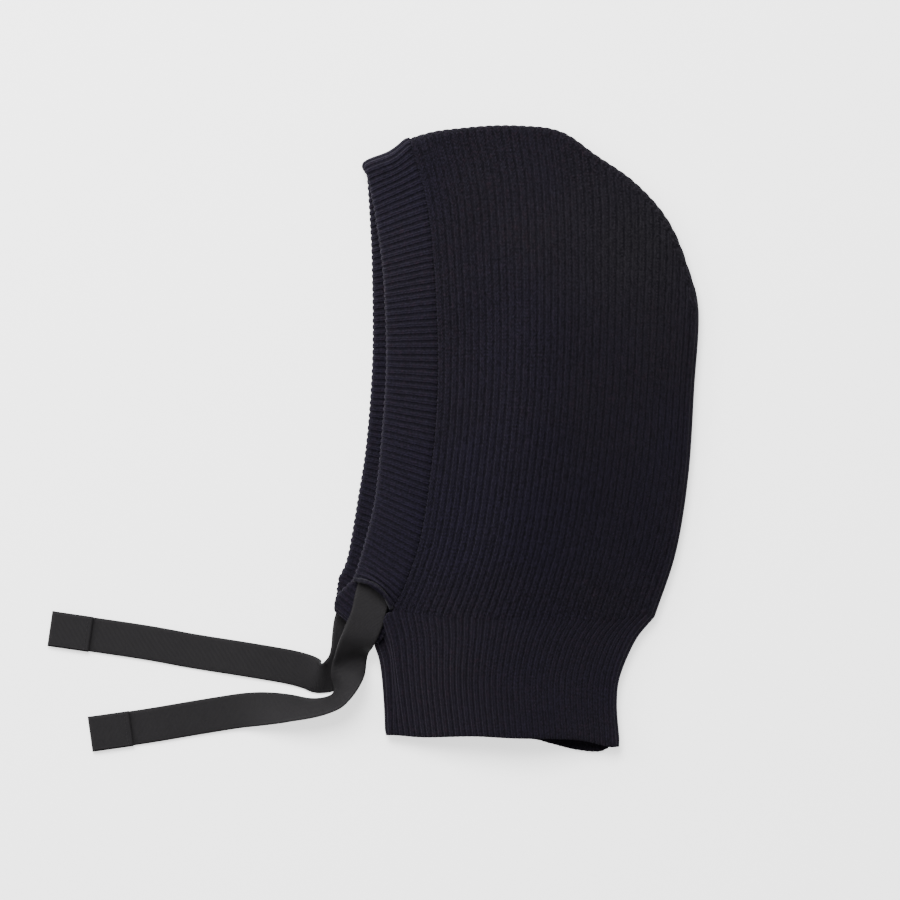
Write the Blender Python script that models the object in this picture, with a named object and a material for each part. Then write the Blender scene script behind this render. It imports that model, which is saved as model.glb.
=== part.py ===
"""A knitted rib hood with a drawstring round the face, lying on its right side.

X runs from the face (-X) to the back of the head (+X), Y from the neck to the crown
and Z up from the surface that the hood lies on.  The origin is on that surface, under
the middle of the hood.  The left side of the hood is the upper layer.
"""

import math

import bmesh
import bpy
import numpy as np
from mathutils import Vector

MM = 0.001
GAP = 0.0004                      # clearance between neighbouring pieces

# Knit and tape
KNIT = 0.0026                     # one layer of the hood and neck fabric
BAND_LAYER = 0.0022               # one layer of the doubled face band
TUNNEL = 0.0018                   # height of the tunnel between the band's layers
BAND = 2 * BAND_LAYER + TUNNEL    # whole thickness of the face band
CHIN = 0.0048                     # the two band layers below the chin, laid together
SLOT_MARGIN = 0.0030              # band edge to tunnel, at both long edges
TAPE_WIDTH = 0.020
TAPE = 0.0010                     # thickness of the drawstring tape
TAPE_DEPTH = BAND_LAYER + TUNNEL / 2

# Heights of the outer surfaces above the table
FOLD_RADIUS = 0.0053              # round of the crown, back and neck folds
FOREHEAD_RADIUS = 0.0080          # round of the thicker band where it turns over the forehead
CHIN_RADIUS = 0.0073
CHIN_LOW = 0.0042                 # underside of the chin: the right tie passes below it
CHIN_TOP = CHIN_LOW + 2 * CHIN_RADIUS
MOUTH_TOP = CHIN_TOP + BAND_LAYER + TUNNEL + 0.0002
BULGE = 0.0130                    # how far the upper side stands up in its middle
NECK_BULGE = 0.0130

# Drawstring
TAIL = 0.034                      # length of each tie that waits inside the tunnel
END_FOLD = 0.023                  # turned-back end of each tie
FLAP_HALF_WIDTH = 0.0102          # the turned-back end is a little wider than the tape
FLAP_GAP = 0.0003                 # between the tape and its turned-back end
STITCH_HALF_WIDTH = 0.0085        # row of stitches across the turned-back end
STITCH_FROM_EDGE = (0.0030, 0.0022)
CROWN_SEAM_RADIUS = 0.0010        # linking chain inside the crown
SEAM_RADIUS = 0.0008              # linking chains between band and sides
SEAM_CLEAR = 0.0005               # from the fabric to the chain
RIM_RADIUS = 0.0010               # bound edge of a tunnel mouth


def mm(*points):
    """Points given in millimetres, as an array in metres."""
    return np.array(points, float) * MM


# Outline of the hood seen from above, from the forehead over the crown to the back
FOREHEAD_CORNER = (-88.7, 159.5)
CROWN_START = (-61.5, 174.6)
CROWN_END = (107.0, 74.0)
NECK_BACK_TOP = (81.5, -103.0)
CROWN = mm(CROWN_START, (-39, 180), (4, 182.1), (27, 178.6), (47, 165), (70, 149), (89, 129),
           (100.8, 102), CROWN_END)
BACK = mm(CROWN_END, (104.5, 30), (101.2, -20), (94, -65), NECK_BACK_TOP)
NECK_BACK = mm(NECK_BACK_TOP, (70, -116), (62, -136), (60.3, -153), (61.5, -178))
NECK_FRONT = mm((-80.7, -119.5), (-78, -130), (-76, -152), (-75.3, -171.5))

NECK_BACK_OUT = np.array((0.91, -0.41, 0)) / math.hypot(0.91, 0.41)   # where back and neck meet

# Free edges and joints of the two sides, from the chin up
MOUTH_LEFT = mm((-92.8, -80.8), (-70.4, -98.4))
MOUTH_RIGHT = mm((-101.5, -80.5), (-70.4, -98.4))
EDGE_LEFT = mm((-92.8, -80.8), (-88, -66), (-80.7, -36.5), (-76.6, 0), (-73.8, 45), (-75.5, 93),
               (-80.5, 130))
JOIN_LEFT = mm((-70.4, -98.4), (-61.5, -79), (-53.4, -51), (-46.3, 4), (-44.6, 45), (-46.5, 93),
               (-51, 135))
EDGE_RIGHT = mm((-101.5, -80.5), (-96.3, -67.6), (-90.3, -33.6), (-85.3, 0), (-82, 48), (-82.3, 100),
                (-83.8, 132))
JOIN_RIGHT = mm((-70.4, -98.4), (-67, -72), (-60.5, -34), (-55.5, 0), (-52, 48), (-52, 100),
                (-54, 138))
HEM_LEFT = mm((-75.3, -171.5), (-53, -172.4), (-24, -171.4), (0, -172.4), (35, -173.6), (61.5, -178))
HEM_RIGHT = mm((-75.3, -171.5), (-20, -172.5), (10, -174), (21, -176.5), (35, -180), (49, -181.3),
               (61.5, -178))
NECK_LINE = mm((-80.7, -119.5), (-75.2, -109), (-70.0, -99.5), (-35, -103), (20, -104.5), (55, -104),
               NECK_BACK_TOP)
CHIN_FRONT = mm((-107, -94), (-80.9, -119.3))

# Routes of the two ties: x, y and the height of the tape's middle.  Each root lies straight
# in its tunnel, comes out of the mouth and ends at the pivot where the tie bends away.
LEFT_PULL = Vector((-0.300, -0.954, 0)).normalized()
RIGHT_PULL = Vector((-0.200, -0.980, 0)).normalized()
LEFT_MOUTH = Vector((-0.0816, -0.0900, MOUTH_TOP - TAPE_DEPTH))
RIGHT_MOUTH = Vector((-0.0853, -0.0888, TAPE_DEPTH))
LEFT_PIVOT = (-100.0, -147.0, 3.4)
RIGHT_PIVOT = (-98.5, -136.5, 0.6)
LEFT_ROOT = mm((-85.0, -101, 19.9), (-88.6, -111, 19.9), (-92.2, -121, 16.5), (-95.8, -131, 8.0),
               (-98.2, -139.5, 3.6), LEFT_PIVOT)
RIGHT_ROOT = mm((-87.0, -97.0, 3.1), (-89.6, -106, 1.0), (-93, -116, 0.6), (-95.6, -126, 0.6),
                RIGHT_PIVOT)
LEFT_TIE = mm((-100, -147, 5.1), (-109, -153.5, 4.9), (-120, -156.0, 4.3), (-137, -155.6, 2.7),
              (-156, -156.8, 2.2), (-186, -161.9, 2.1), (-206, -165.3, 1.0), (-222, -167.8, 0.6),
              (-244.5, -171.0, 0.6))
RIGHT_TIE = mm((-98.5, -136.5, 2.0), (-108, -139.2, 1.9), (-119, -136.6, 0.9), (-133, -131.7, 0.6),
               (-156.6, -127.6, 0.6), (-185.8, -123, 0.6), (-215.2, -117.7, 0.6), (-267.8, -110, 0.6))
BEND_HALF_WIDTH = 0.0070          # the left tape is turned towards its edge at the bend

COLOURS = {
    "hood_knit": (0.0105, 0.0098, 0.0150, 0.92),
    "band_knit": (0.0125, 0.0115, 0.0185, 0.92),
    "linking_yarn": (0.0080, 0.0075, 0.0110, 0.90),
    "tape": (0.0260, 0.0250, 0.0270, 0.75),
    "thread": (0.0120, 0.0115, 0.0125, 0.60),
}


# ---------------------------------------------------------------- curves and grids

def catmull(a, b, c, d, t):
    """Point at t between b and c on the Catmull-Rom curve through four points."""
    return 0.5 * (2 * b + (c - a) * t + (2 * a - 5 * b + 4 * c - d) * t ** 2
                  + (3 * b - a - 3 * c + d) * t ** 3)


def dense_curve(points, steps=24):
    """The smooth curve through the given points, finely divided."""
    ends = [2 * points[0] - points[1]], [2 * points[-1] - points[-2]]
    p = np.concatenate([ends[0], points, ends[1]])
    out = [catmull(*p[i:i + 4], t) for i in range(len(points) - 1) for t in np.arange(steps) / steps]
    return np.array(out + [points[-1]])


def lengths(points):
    """Running length along a row of points."""
    steps = np.linalg.norm(np.diff(points, axis=0), axis=1)
    return np.concatenate([[0], np.cumsum(steps)])


def pick(curve, measure, values):
    """Points of the curve where a rising measure of it takes the given values."""
    return np.stack([np.interp(values, measure, axis) for axis in curve.T], axis=1)


def along(points, count):
    """Evenly spaced points on the smooth curve through the given ones."""
    curve = dense_curve(points)
    run = lengths(curve)
    return pick(curve, run, np.linspace(0, run[-1], count))


def with_height(points, heights):
    """Points in the plane with a height each."""
    return np.column_stack([points[:, :2], np.broadcast_to(heights, len(points))])


def outward(points):
    """Horizontal unit normals on the left of the direction of travel."""
    tangent = np.gradient(points[:, :2], axis=0)
    normal = np.column_stack([-tangent[:, 1], tangent[:, 0], np.zeros(len(points))])
    return normal / np.linalg.norm(normal, axis=1)[:, None]


def ease(t):
    """Rises from 0 to 1 with level ends."""
    t = np.clip(t, 0, 1)
    return t * t * (3 - 2 * t)


def coons(left, right, bottom, top):
    """Grid of points filling four boundary rows; rows run from bottom to top."""
    v = np.linspace(0, 1, len(left))[:, None, None]
    u = np.linspace(0, 1, len(bottom))[None, :, None]
    sides = (1 - u) * left[:, None] + u * right[:, None]
    ends = (1 - v) * bottom[None] + v * top[None]
    corners = ((1 - u) * (1 - v) * bottom[0] + u * (1 - v) * bottom[-1]
               + (1 - u) * v * top[0] + u * v * top[-1])
    return sides + ends - corners


# ---------------------------------------------------------------- meshes

def material(name):
    """The named material, made on first use."""
    if name in bpy.data.materials:
        return bpy.data.materials[name]
    red, green, blue, rough = COLOURS[name]
    made = bpy.data.materials.new(name)
    made.use_nodes = True
    shader = made.node_tree.nodes["Principled BSDF"]
    shader.inputs["Base Color"].default_value = (red, green, blue, 1)
    shader.inputs["Roughness"].default_value = rough
    shader.inputs["Metallic"].default_value = 0
    return made


def add_object(name, verts, faces, slot, origin=(0, 0, 0), parent=None):
    """One closed solid as an object with its origin at the given point."""
    origin = Vector(origin)
    mesh = bpy.data.meshes.new(name)
    mesh.from_pydata([Vector(v) - origin for v in verts], [], [list(map(int, f)) for f in faces])
    work = bmesh.new()
    work.from_mesh(mesh)
    bmesh.ops.recalc_face_normals(work, faces=work.faces)
    work.to_mesh(mesh)
    work.free()
    mesh.shade_smooth()
    mesh.set_sharp_from_angle(angle=math.radians(50))
    mesh.materials.append(material(slot))
    made = bpy.data.objects.new(name, mesh)
    bpy.context.collection.objects.link(made)
    made.parent = parent
    made.location = origin - (parent.location if parent else Vector())
    return made


def sheet_normals(verts, faces):
    """Smooth unit normals of a sheet of quads."""
    a, b, c, d = (verts[faces[:, i]] for i in range(4))
    flat = np.cross(c - a, d - b)
    normals = np.zeros_like(verts)
    for corner in range(4):
        np.add.at(normals, faces[:, corner], flat)
    return normals / np.linalg.norm(normals, axis=1)[:, None]


def thick_sheet(verts, faces, normals, thickness):
    """Closed solid between a sheet of quads and its copy below it."""
    count = len(verts)
    below = verts - normals * thickness
    edges = {}
    for face in faces:
        for a, b in zip(face, np.roll(face, -1)):
            edges[(a, b)] = edges.get((a, b), 0) + 1
    rim = [(b, a, a + count, b + count) for a, b in edges if (b, a) not in edges]
    return np.concatenate([verts, below]), [*faces, *(faces[:, ::-1] + count), *rim]


def grid_faces(rows, columns, closed=False):
    """Quads over a grid of points; closed joins the last column to the first."""
    wide = columns if closed else columns - 1
    return np.array([(r * columns + c, r * columns + (c + 1) % columns,
                      (r + 1) * columns + (c + 1) % columns, (r + 1) * columns + c)
                     for r in range(rows - 1) for c in range(wide)])


def sweep(sections):
    """Solid through equal closed sections, with flat ends."""
    rows, columns = sections.shape[:2]
    faces = [list(f) for f in grid_faces(rows, columns, closed=True)]
    faces += [list(range(columns)), [(rows - 1) * columns + c for c in range(columns)]]
    return sections.reshape(-1, 3), faces


# ---------------------------------------------------------------- the two sides of the hood

FOLD_STEPS = 4
SIDE_ROWS, SIDE_COLUMNS = 16, 18


def crown_spread(count):
    """Places along the crown, spaced between evenly across and evenly along it."""
    curve = dense_curve(CROWN)
    run = lengths(curve)
    measure = 0.55 * (curve[:, 0] - curve[0, 0]) / np.ptp(curve[:, 0]) + 0.45 * run / run[-1]
    return pick(curve, measure, np.linspace(0, 1, count))


def crown_and_back(columns, rows):
    """Outline from the crown's front end to the neck: points, normals and fold radii."""
    crown = crown_spread(columns)
    back = along(BACK, rows)
    points = np.concatenate([crown, back[1:]])
    normals = outward(points)
    normals[-1] = NECK_BACK_OUT
    forehead = 1 - ease(lengths(points) / 0.045)
    radii = FOLD_RADIUS + (FOREHEAD_RADIUS - FOLD_RADIUS) * forehead
    return points, normals, radii


def neck_line_heights(count, upper):
    """Heights of the outer surface along the neck line, from the chin to the back."""
    if not upper:
        return np.zeros(count)
    t = np.linspace(0, 1, count)
    front = 0.0150 + 0.0070 * ease(t / 0.14)
    back = 2 * FOLD_RADIUS
    return front + (back - front) * t + NECK_BULGE * np.sin(math.pi * t) ** 1.5


def neck_line(count):
    """The joint between hood and neck, drawn in by the fold radius at both ends."""
    ends = NECK_LINE.copy()
    ends[0] += np.array((CHIN_RADIUS, 0.0012))
    ends[-1] -= NECK_BACK_OUT[:2] * FOLD_RADIUS
    return along(ends, count)


def side_boundaries(upper):
    """The four 3-D edge rows of one side inside its fold, and the fold's own data."""
    points, normals, radii = crown_and_back(SIDE_COLUMNS, SIDE_ROWS)
    inset = with_height(points, 0) - normals * radii[:, None]
    inset[:, 2] = 2 * radii if upper else 0
    top = inset[:SIDE_COLUMNS].copy()
    right = inset[SIDE_COLUMNS - 1:][::-1]
    join = dense_curve(np.concatenate([JOIN_LEFT if upper else JOIN_RIGHT, [top[0, :2]]]))
    points[0] += GAP * (points[1] - points[0]) / np.linalg.norm(points[1] - points[0])
    points[-1] += np.array((0, GAP))
    right[0] += np.array((0, GAP, 0))
    run = lengths(join)
    left = pick(join, run, np.linspace(0, run[-1], SIDE_ROWS)) + np.array((GAP, 0))
    left = with_height(left, band_heights(SIDE_ROWS) if upper else 0)
    top[0] = left[-1]
    line = dense_curve(neck_line(60)[11:])
    ends = np.linspace(left[0, :2], right[0, :2], SIDE_COLUMNS)
    bottom = pick(line, line[:, 0], ends[:, 0]) + np.array((0, GAP))
    heights = np.interp(ends[:, 0], neck_line(60)[:, 0], neck_line_heights(60, upper))
    bottom = with_height(bottom, heights)
    bottom[0], bottom[-1] = left[0], right[0]
    return left, right, bottom, top, points, normals, radii


def band_heights(count):
    """Height of the face band's upper surface from the chin to the forehead."""
    t = np.linspace(0, 1, count)
    rise = 0.0020 * ease((t - 0.18) / 0.3)
    fall = (MOUTH_TOP + 0.0020 - 2 * FOREHEAD_RADIUS) * ease((t - 0.62) / 0.38)
    return MOUTH_TOP + rise - fall


def side_sheet(upper):
    """Outer surface of one side: its grid, then the rows that turn down into the fold."""
    left, right, bottom, top, points, normals, radii = side_boundaries(upper)
    grid = coons(left, right, bottom, top)
    if upper:
        u = np.linspace(0, 1, SIDE_COLUMNS)[None, :]
        v = np.linspace(0, 1, SIDE_ROWS)[:, None]
        grid[:, :, 2] += BULGE * np.sin(math.pi * u ** 0.9) * np.sin(math.pi * v) ** 0.8
    verts = list(grid.reshape(-1, 3))
    rim = [(SIDE_ROWS - 1) * SIDE_COLUMNS + c for c in range(SIDE_COLUMNS)]
    rim += [r * SIDE_COLUMNS + SIDE_COLUMNS - 1 for r in range(SIDE_ROWS - 2, -1, -1)]
    faces = list(grid_faces(SIDE_ROWS, SIDE_COLUMNS))
    up = np.array((0, 0, 1.0 if upper else -1.0))
    turned = []
    for step in range(1, FOLD_STEPS + 1):
        angle = math.pi / 2 * step / FOLD_STEPS
        row = len(verts)
        for k in range(len(points)):
            out, radius = normals[k], radii[k]
            centre = np.array((*(points[k] - out[:2] * radius), radius))
            ray = out * math.sin(angle) + up * math.cos(angle)
            place = centre + ray * radius
            if step == FOLD_STEPS:
                place = place + up * GAP / 2
            verts.append(place)
            turned.append((row + k, ray))
        faces += [(rim[k], rim[k + 1], row + k + 1, row + k) for k in range(len(points) - 1)]
        rim = [row + k for k in range(len(points))]
    verts, faces = np.array(verts), np.array(faces)
    if not upper:
        faces = faces[:, ::-1]
    shading = sheet_normals(verts, faces)
    for index, ray in turned:
        shading[index] = ray
    level_edges(shading, verts, SIDE_ROWS, SIDE_COLUMNS, up)
    return verts, faces, shading


def level_edges(shading, verts, rows, columns, up):
    """Square the free edges of a grid to the surface that its neighbour shares."""
    front = [r * columns for r in range(rows)]
    bottom = list(range(columns))
    for edge in (front, bottom):
        tangent = np.gradient(verts[edge], axis=0)
        tangent /= np.linalg.norm(tangent, axis=1)[:, None]
        square = up - tangent * (tangent @ up)[:, None]
        shading[edge] = square / np.linalg.norm(square, axis=1)[:, None]


def add_side(name, upper):
    verts, faces, shading = side_sheet(upper)
    add_object(name, *thick_sheet(verts, faces, shading, KNIT), "hood_knit")


def add_crown_seam():
    """The linked seam that closes the crown, inside the fold."""
    points, normals, radii = crown_and_back(SIDE_COLUMNS, SIDE_ROWS)
    inside = KNIT + SEAM_CLEAR + CROWN_SEAM_RADIUS
    route = with_height(points - normals[:, :2] * inside, radii)[1:SIDE_COLUMNS]
    add_tube("crown_seam", route, CROWN_SEAM_RADIUS, "linking_yarn")


def add_tube(name, route, radius, slot, sides=8):
    """A round yarn or rolled edge along a route."""
    tangents = np.gradient(route, axis=0)
    tangents /= np.linalg.norm(tangents, axis=1)[:, None]
    side = np.cross(tangents, (0, 0, 1.0))
    side /= np.linalg.norm(side, axis=1)[:, None]
    lift = np.cross(side, tangents)
    turns = np.arange(sides) * 2 * math.pi / sides
    sections = np.array([[p + radius * (math.cos(t) * s + math.sin(t) * l) for t in turns]
                         for p, s, l in zip(route, side, lift)])
    add_object(name, *sweep(sections), slot)


# ---------------------------------------------------------------- neck

NECK_ROWS, NECK_COLUMNS = 8, 13


def neck_loops():
    """Closed rows of points round the flattened neck, from the hem to the neck line."""
    front = along(NECK_FRONT[::-1], NECK_ROWS)
    back = along(NECK_BACK[::-1], NECK_ROWS)
    back[-1] -= np.array((0, GAP))
    front_out = outward(front)
    back_out = -outward(back)
    back_out[-1] = NECK_BACK_OUT
    v = np.linspace(0, 1, NECK_ROWS)
    front_radius = FOLD_RADIUS + (CHIN_RADIUS - FOLD_RADIUS) * v ** 2
    line = neck_line(NECK_COLUMNS) - np.array((0, GAP))
    layers = []
    for upper in (True, False):
        hem = along(HEM_LEFT if upper else HEM_RIGHT, NECK_COLUMNS)
        left = with_height(front, 2 * front_radius * upper) - front_out * front_radius[:, None]
        right = with_height(back, 2 * FOLD_RADIUS * upper) - back_out * FOLD_RADIUS
        t = np.linspace(0, 1, NECK_COLUMNS)
        swell = 2 * FOLD_RADIUS + NECK_BULGE * np.sin(math.pi * t) ** 0.8
        bottom = with_height(hem, swell * upper)
        top = with_height(line, neck_line_heights(NECK_COLUMNS, upper))
        bottom[0], bottom[-1], top[0], top[-1] = left[0], right[0], left[-1], right[-1]
        layers.append(coons(left, right, bottom, top))
    upper, lower = layers
    loops = []
    for r in range(NECK_ROWS):
        back_turn = fold_turn(upper[r, -1], lower[r, -1], back_out[r])
        front_turn = fold_turn(lower[r, 0], upper[r, 0], front_out[r])
        loops.append([*upper[r], *back_turn, *lower[r][::-1], *front_turn])
    return np.array(loops)


def fold_turn(start, end, out):
    """Points of the half circle that joins two layers across a fold, ends left out."""
    middle, half = (start + end) / 2, (start - end) / 2
    radius = abs(half[2])
    turns = np.arange(1, 2 * FOLD_STEPS) * math.pi / (2 * FOLD_STEPS)
    return [middle + half * math.cos(t) + out * radius * math.sin(t) for t in turns]


def add_neck():
    """The tighter rib tube below the hood, open at the hem and into the hood."""
    loops = neck_loops()
    rows, columns = loops.shape[:2]
    verts = loops.reshape(-1, 3)
    faces = grid_faces(rows, columns, closed=True)
    shading = sheet_normals(verts, faces)
    for row in (0, rows - 1):
        edge = slice(row * columns, (row + 1) * columns)
        tangent = np.roll(verts[edge], -1, axis=0) - np.roll(verts[edge], 1, axis=0)
        tangent /= np.linalg.norm(tangent, axis=1)[:, None]
        flat = shading[edge] * (1, 0 if row else 1, 1)
        flat -= tangent * (flat * tangent).sum(axis=1)[:, None]
        shading[edge] = flat / np.linalg.norm(flat, axis=1)[:, None]
    add_object("neck_rib", *thick_sheet(verts, faces, shading, KNIT), "hood_knit")


# ---------------------------------------------------------------- face band and chin

BAND_ROWS = SIDE_ROWS             # the band and the sides share their joint's stations
TURN_STEPS = 8


def band_stations():
    """Fold edge, joined edge and outward normal along the band, from mouth to mouth."""
    outline = mm(FOREHEAD_CORNER, (-75, 166.3), CROWN_START)
    turn_out = outward(along(outline, 5))
    edge_out, join_out = turn_out[1], outward(crown_spread(SIDE_COLUMNS))[0]
    edge_top = outline[0] - edge_out[:2] * FOREHEAD_RADIUS
    join_top = outline[-1] - join_out[:2] * FOREHEAD_RADIUS
    sides = []
    for edge, join, upper in ((EDGE_LEFT, JOIN_LEFT, True), (EDGE_RIGHT, JOIN_RIGHT, False)):
        heights = band_heights(BAND_ROWS) if upper else 0
        edge_run = with_height(along(np.vstack([edge, edge_top]), BAND_ROWS), heights)
        join_run = with_height(along(np.vstack([join, join_top]), BAND_ROWS), heights)
        sides.append((edge_run, join_run))
    stations = [(a, b, np.array((0, 0, 1.0))) for a, b in zip(*sides[0])]
    for step in range(1, TURN_STEPS):
        angle = math.pi * step / TURN_STEPS
        rays = [np.array((0, 0, math.cos(angle))) + out * math.sin(angle) for out in (edge_out, join_out)]
        centre = np.array((0, 0, FOREHEAD_RADIUS))
        a = np.array((*edge_top, 0)) + centre + rays[0] * FOREHEAD_RADIUS
        b = np.array((*join_top, 0)) + centre + rays[1] * FOREHEAD_RADIUS
        normal = rays[0] + rays[1]
        stations.append((a, b, normal / np.linalg.norm(normal)))
    down = np.array((0, 0, -1.0))
    stations += [(a, b, down) for a, b in zip(sides[1][0][::-1], sides[1][1][::-1])]
    return stations


def section(station, start, stop, top, bottom, rounding, corner=3):
    """A closed section across the band: start and stop are distances in from its edges."""
    a, b, normal = station
    across = b - a
    width = np.linalg.norm(across)
    across = across / width
    low, high = start + rounding, width - stop - rounding
    turns = np.linspace(0, math.pi / 2, corner)
    centres = ((high, top + rounding), (high, bottom - rounding), (low, bottom - rounding),
               (low, top + rounding))
    ring = []
    for quarter, (x, depth) in enumerate(centres):
        for turn in turns + quarter * math.pi / 2:
            sideways, deeper = math.sin(turn), -math.cos(turn)
            ring.append(a + across * (x + rounding * sideways) - normal * (depth + rounding * deeper))
    return ring


def add_face_band(stations):
    """The doubled strip round the face: one flat tube with an open mouth at each end."""
    outer = np.array([section(s, 0, GAP / 2, 0, BAND, 0.0012) for s in stations])
    slot = np.array([section(s, SLOT_MARGIN, SLOT_MARGIN, BAND_LAYER, BAND_LAYER + TUNNEL, 0.0004)
                     for s in stations])
    rows, columns = outer.shape[:2]
    count = rows * columns
    faces = [list(f) for f in grid_faces(rows, columns, closed=True)]
    faces += [[i + count for i in f[::-1]] for f in faces]
    for row in (0, rows - 1):
        for c in range(columns):
            here, there = row * columns + c, row * columns + (c + 1) % columns
            faces.append([here, there, there + count, here + count])
    verts = np.concatenate([outer.reshape(-1, 3), slot.reshape(-1, 3)])
    add_object("face_band", verts, faces, "band_knit")


def add_tunnel_tape(stations):
    """The middle of the drawstring, lying in the tunnel between the two waiting tails."""
    centres = np.array([(a + b) / 2 for a, b, _ in stations])
    run = lengths(centres)
    first = int(np.searchsorted(run, TAIL + 0.002))
    last = int(np.searchsorted(run, run[-1] - TAIL - 0.002)) - 1
    middle = stations[first:last + 1]
    sections = []
    for a, b, normal in middle:
        margin = (np.linalg.norm(b - a) - TAPE_WIDTH) / 2
        sections.append(section((a, b, normal), margin, margin, TAPE_DEPTH - TAPE / 2,
                                TAPE_DEPTH + TAPE / 2, 0.0002, corner=2))
    add_object("tape_in_tunnel", *sweep(np.array(sections)), "tape")


def add_chin_band():
    """The band's two layers carried round under the chin, from mouth to mouth."""
    front = along(CHIN_FRONT, 3)
    out = -outward(front)[1]
    turn = front[[0, -1]] - out[:2] * CHIN_RADIUS
    turn = np.column_stack([turn, (CHIN_LOW + CHIN_RADIUS,) * 2])
    stations = []
    for mouth, height, up in ((MOUTH_LEFT, CHIN_TOP, 1), (MOUTH_RIGHT, CHIN_LOW, -1)):
        start = with_height(mouth, height)
        end = with_height(turn, height)
        start += (end - start) * 0.02 + (end - start) / np.linalg.norm(end - start) * GAP
        flat = [(*(start + (end - start) * t), np.array((0, 0, float(up)))) for t in (0, 0.3, 0.6, 1)]
        stations.append(flat)
    turned = []
    for step in range(1, TURN_STEPS):
        angle = math.pi * step / TURN_STEPS
        ray = np.array((0, 0, math.cos(angle))) + out * math.sin(angle)
        turned.append((turn[0] + ray * CHIN_RADIUS, turn[1] + ray * CHIN_RADIUS, ray))
    route = stations[0] + turned + stations[1][::-1]
    sections = np.array([section(s, 0, 0.0012, 0, CHIN, 0.0012) for s in route])
    add_object("chin_band", *sweep(sections), "band_knit")


def add_band_seams(stations):
    """The linking chains that join the band to each side, on the inside."""
    rows = BAND_ROWS - 1
    for name, run in (("band_seam_left", stations[:rows]), ("band_seam_right", stations[-rows:])):
        route = []
        for a, b, normal in run:
            across = (b - a) / np.linalg.norm(b - a)
            route.append(b + across * (SEAM_CLEAR + GAP + SEAM_RADIUS)
                         - normal * (KNIT + SEAM_CLEAR + SEAM_RADIUS))
        add_tube(name, np.array(route[1:-1]), SEAM_RADIUS, "linking_yarn", sides=6)


def add_mouth_rims(stations):
    """The bound edge of the outer layer at each tunnel mouth."""
    for name, station, beyond in (("mouth_rim_left", stations[0], stations[1]),
                                  ("mouth_rim_right", stations[-1], stations[-2])):
        a, b, normal = station
        away = (a + b) - (beyond[0] + beyond[1])
        away = away / np.linalg.norm(away)
        across = (b - a) / np.linalg.norm(b - a)
        away = away - across * (away @ across)
        away /= np.linalg.norm(away)
        middle = BAND_LAYER / 2
        places = np.linspace(0.05, 0.95, 8)
        route = [a + (b - a) * t + away * (RIM_RADIUS + GAP) - normal * middle for t in places]
        add_tube(name, np.array(route), RIM_RADIUS, "band_knit")


# ---------------------------------------------------------------- ties

def ribbon_sections(route, half_widths):
    """Flat sections of tape along a route, kept level across their width."""
    tangents = np.gradient(route, axis=0)
    tangents[:, 2] = 0
    tangents /= np.linalg.norm(tangents, axis=1)[:, None]
    side = np.column_stack([-tangents[:, 1], tangents[:, 0], np.zeros(len(route))])
    up = np.array((0, 0, TAPE / 2))
    return np.array([(p + s * w - up, p - s * w - up, p - s * w + up, p + s * w + up)
                     for p, s, w in zip(route, side, half_widths)])


def rounded_end(centre, direction, half_width):
    """Places and half widths of the half disc that ends a tape at its pivot."""
    turns = np.radians((22, 45, 65, 82))
    places = [centre + direction * half_width * math.sin(t) for t in turns]
    return places, [half_width * math.cos(t) for t in turns]


def half_widths_near(route, pivot, narrow):
    """Half widths along a route, narrower where the tape is turned towards its edge."""
    away = np.linalg.norm((route - pivot)[:, :2], axis=1)
    return narrow + (TAPE_WIDTH / 2 - narrow) * ease((away - 0.010) / 0.022)


def add_root(name, mouth, pull, points, narrow, parent):
    """The part of a tie from inside the tunnel to the pivot; it slides along the tunnel."""
    tail = [np.array(mouth - pull * d) for d in (TAIL, TAIL * 0.66, TAIL * 0.33)]
    curve = dense_curve(np.vstack([np.array(mouth), points]), steps=5)
    curve = np.vstack([tail, curve])
    widths = half_widths_near(curve, curve[-1], narrow)
    heading = curve[-1] - curve[-3]
    heading[2] = 0
    places, ends = rounded_end(curve[-1], heading / np.linalg.norm(heading), narrow)
    route = np.vstack([curve, places])
    add_object(name, *sweep(ribbon_sections(route, [*widths, *ends])), "tape", mouth, parent)


def add_tie(name, points, narrow, parent):
    """The free length of a tie, its turned-back end and the stitching that holds it."""
    curve = dense_curve(points, steps=6)
    widths = half_widths_near(curve, curve[0], narrow)
    heading = curve[0] - curve[2]
    heading[2] = 0
    places, ends = rounded_end(curve[0], heading / np.linalg.norm(heading), narrow)
    route = np.vstack([places[::-1], curve])
    pivot = Vector(points[0])
    sections = ribbon_sections(route, [*ends[::-1], *widths])
    add_object(name, *sweep(sections), "tape", pivot, parent)
    tip = curve[-1]
    back = (points[-2] - tip) / np.linalg.norm(points[-2] - tip)
    lift = np.array((0, 0, TAPE + FLAP_GAP))
    flap = np.array([tip + back * (d * END_FOLD + 0.0002) + lift for d in (0, 0.5, 1)])
    folded = ribbon_sections(flap, [FLAP_HALF_WIDTH] * 3)
    add_object(name + "_end_fold", *sweep(folded), "tape", pivot, parent)
    stitch = lift * 2 - np.array((0, 0, FLAP_GAP))
    row = np.array([tip + back * (END_FOLD - d) + stitch for d in STITCH_FROM_EDGE])
    thread = ribbon_sections(row, [STITCH_HALF_WIDTH] * 2)
    add_object(name + "_end_stitching", *sweep(thread), "thread", pivot, parent)


def add_pivot(name, place, parent=None):
    """An empty on a joint's axis."""
    pivot = bpy.data.objects.new(name, None)
    pivot.empty_display_size = 0.01
    bpy.context.collection.objects.link(pivot)
    pivot.parent = parent
    pivot.location = Vector(place)
    return pivot


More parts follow.
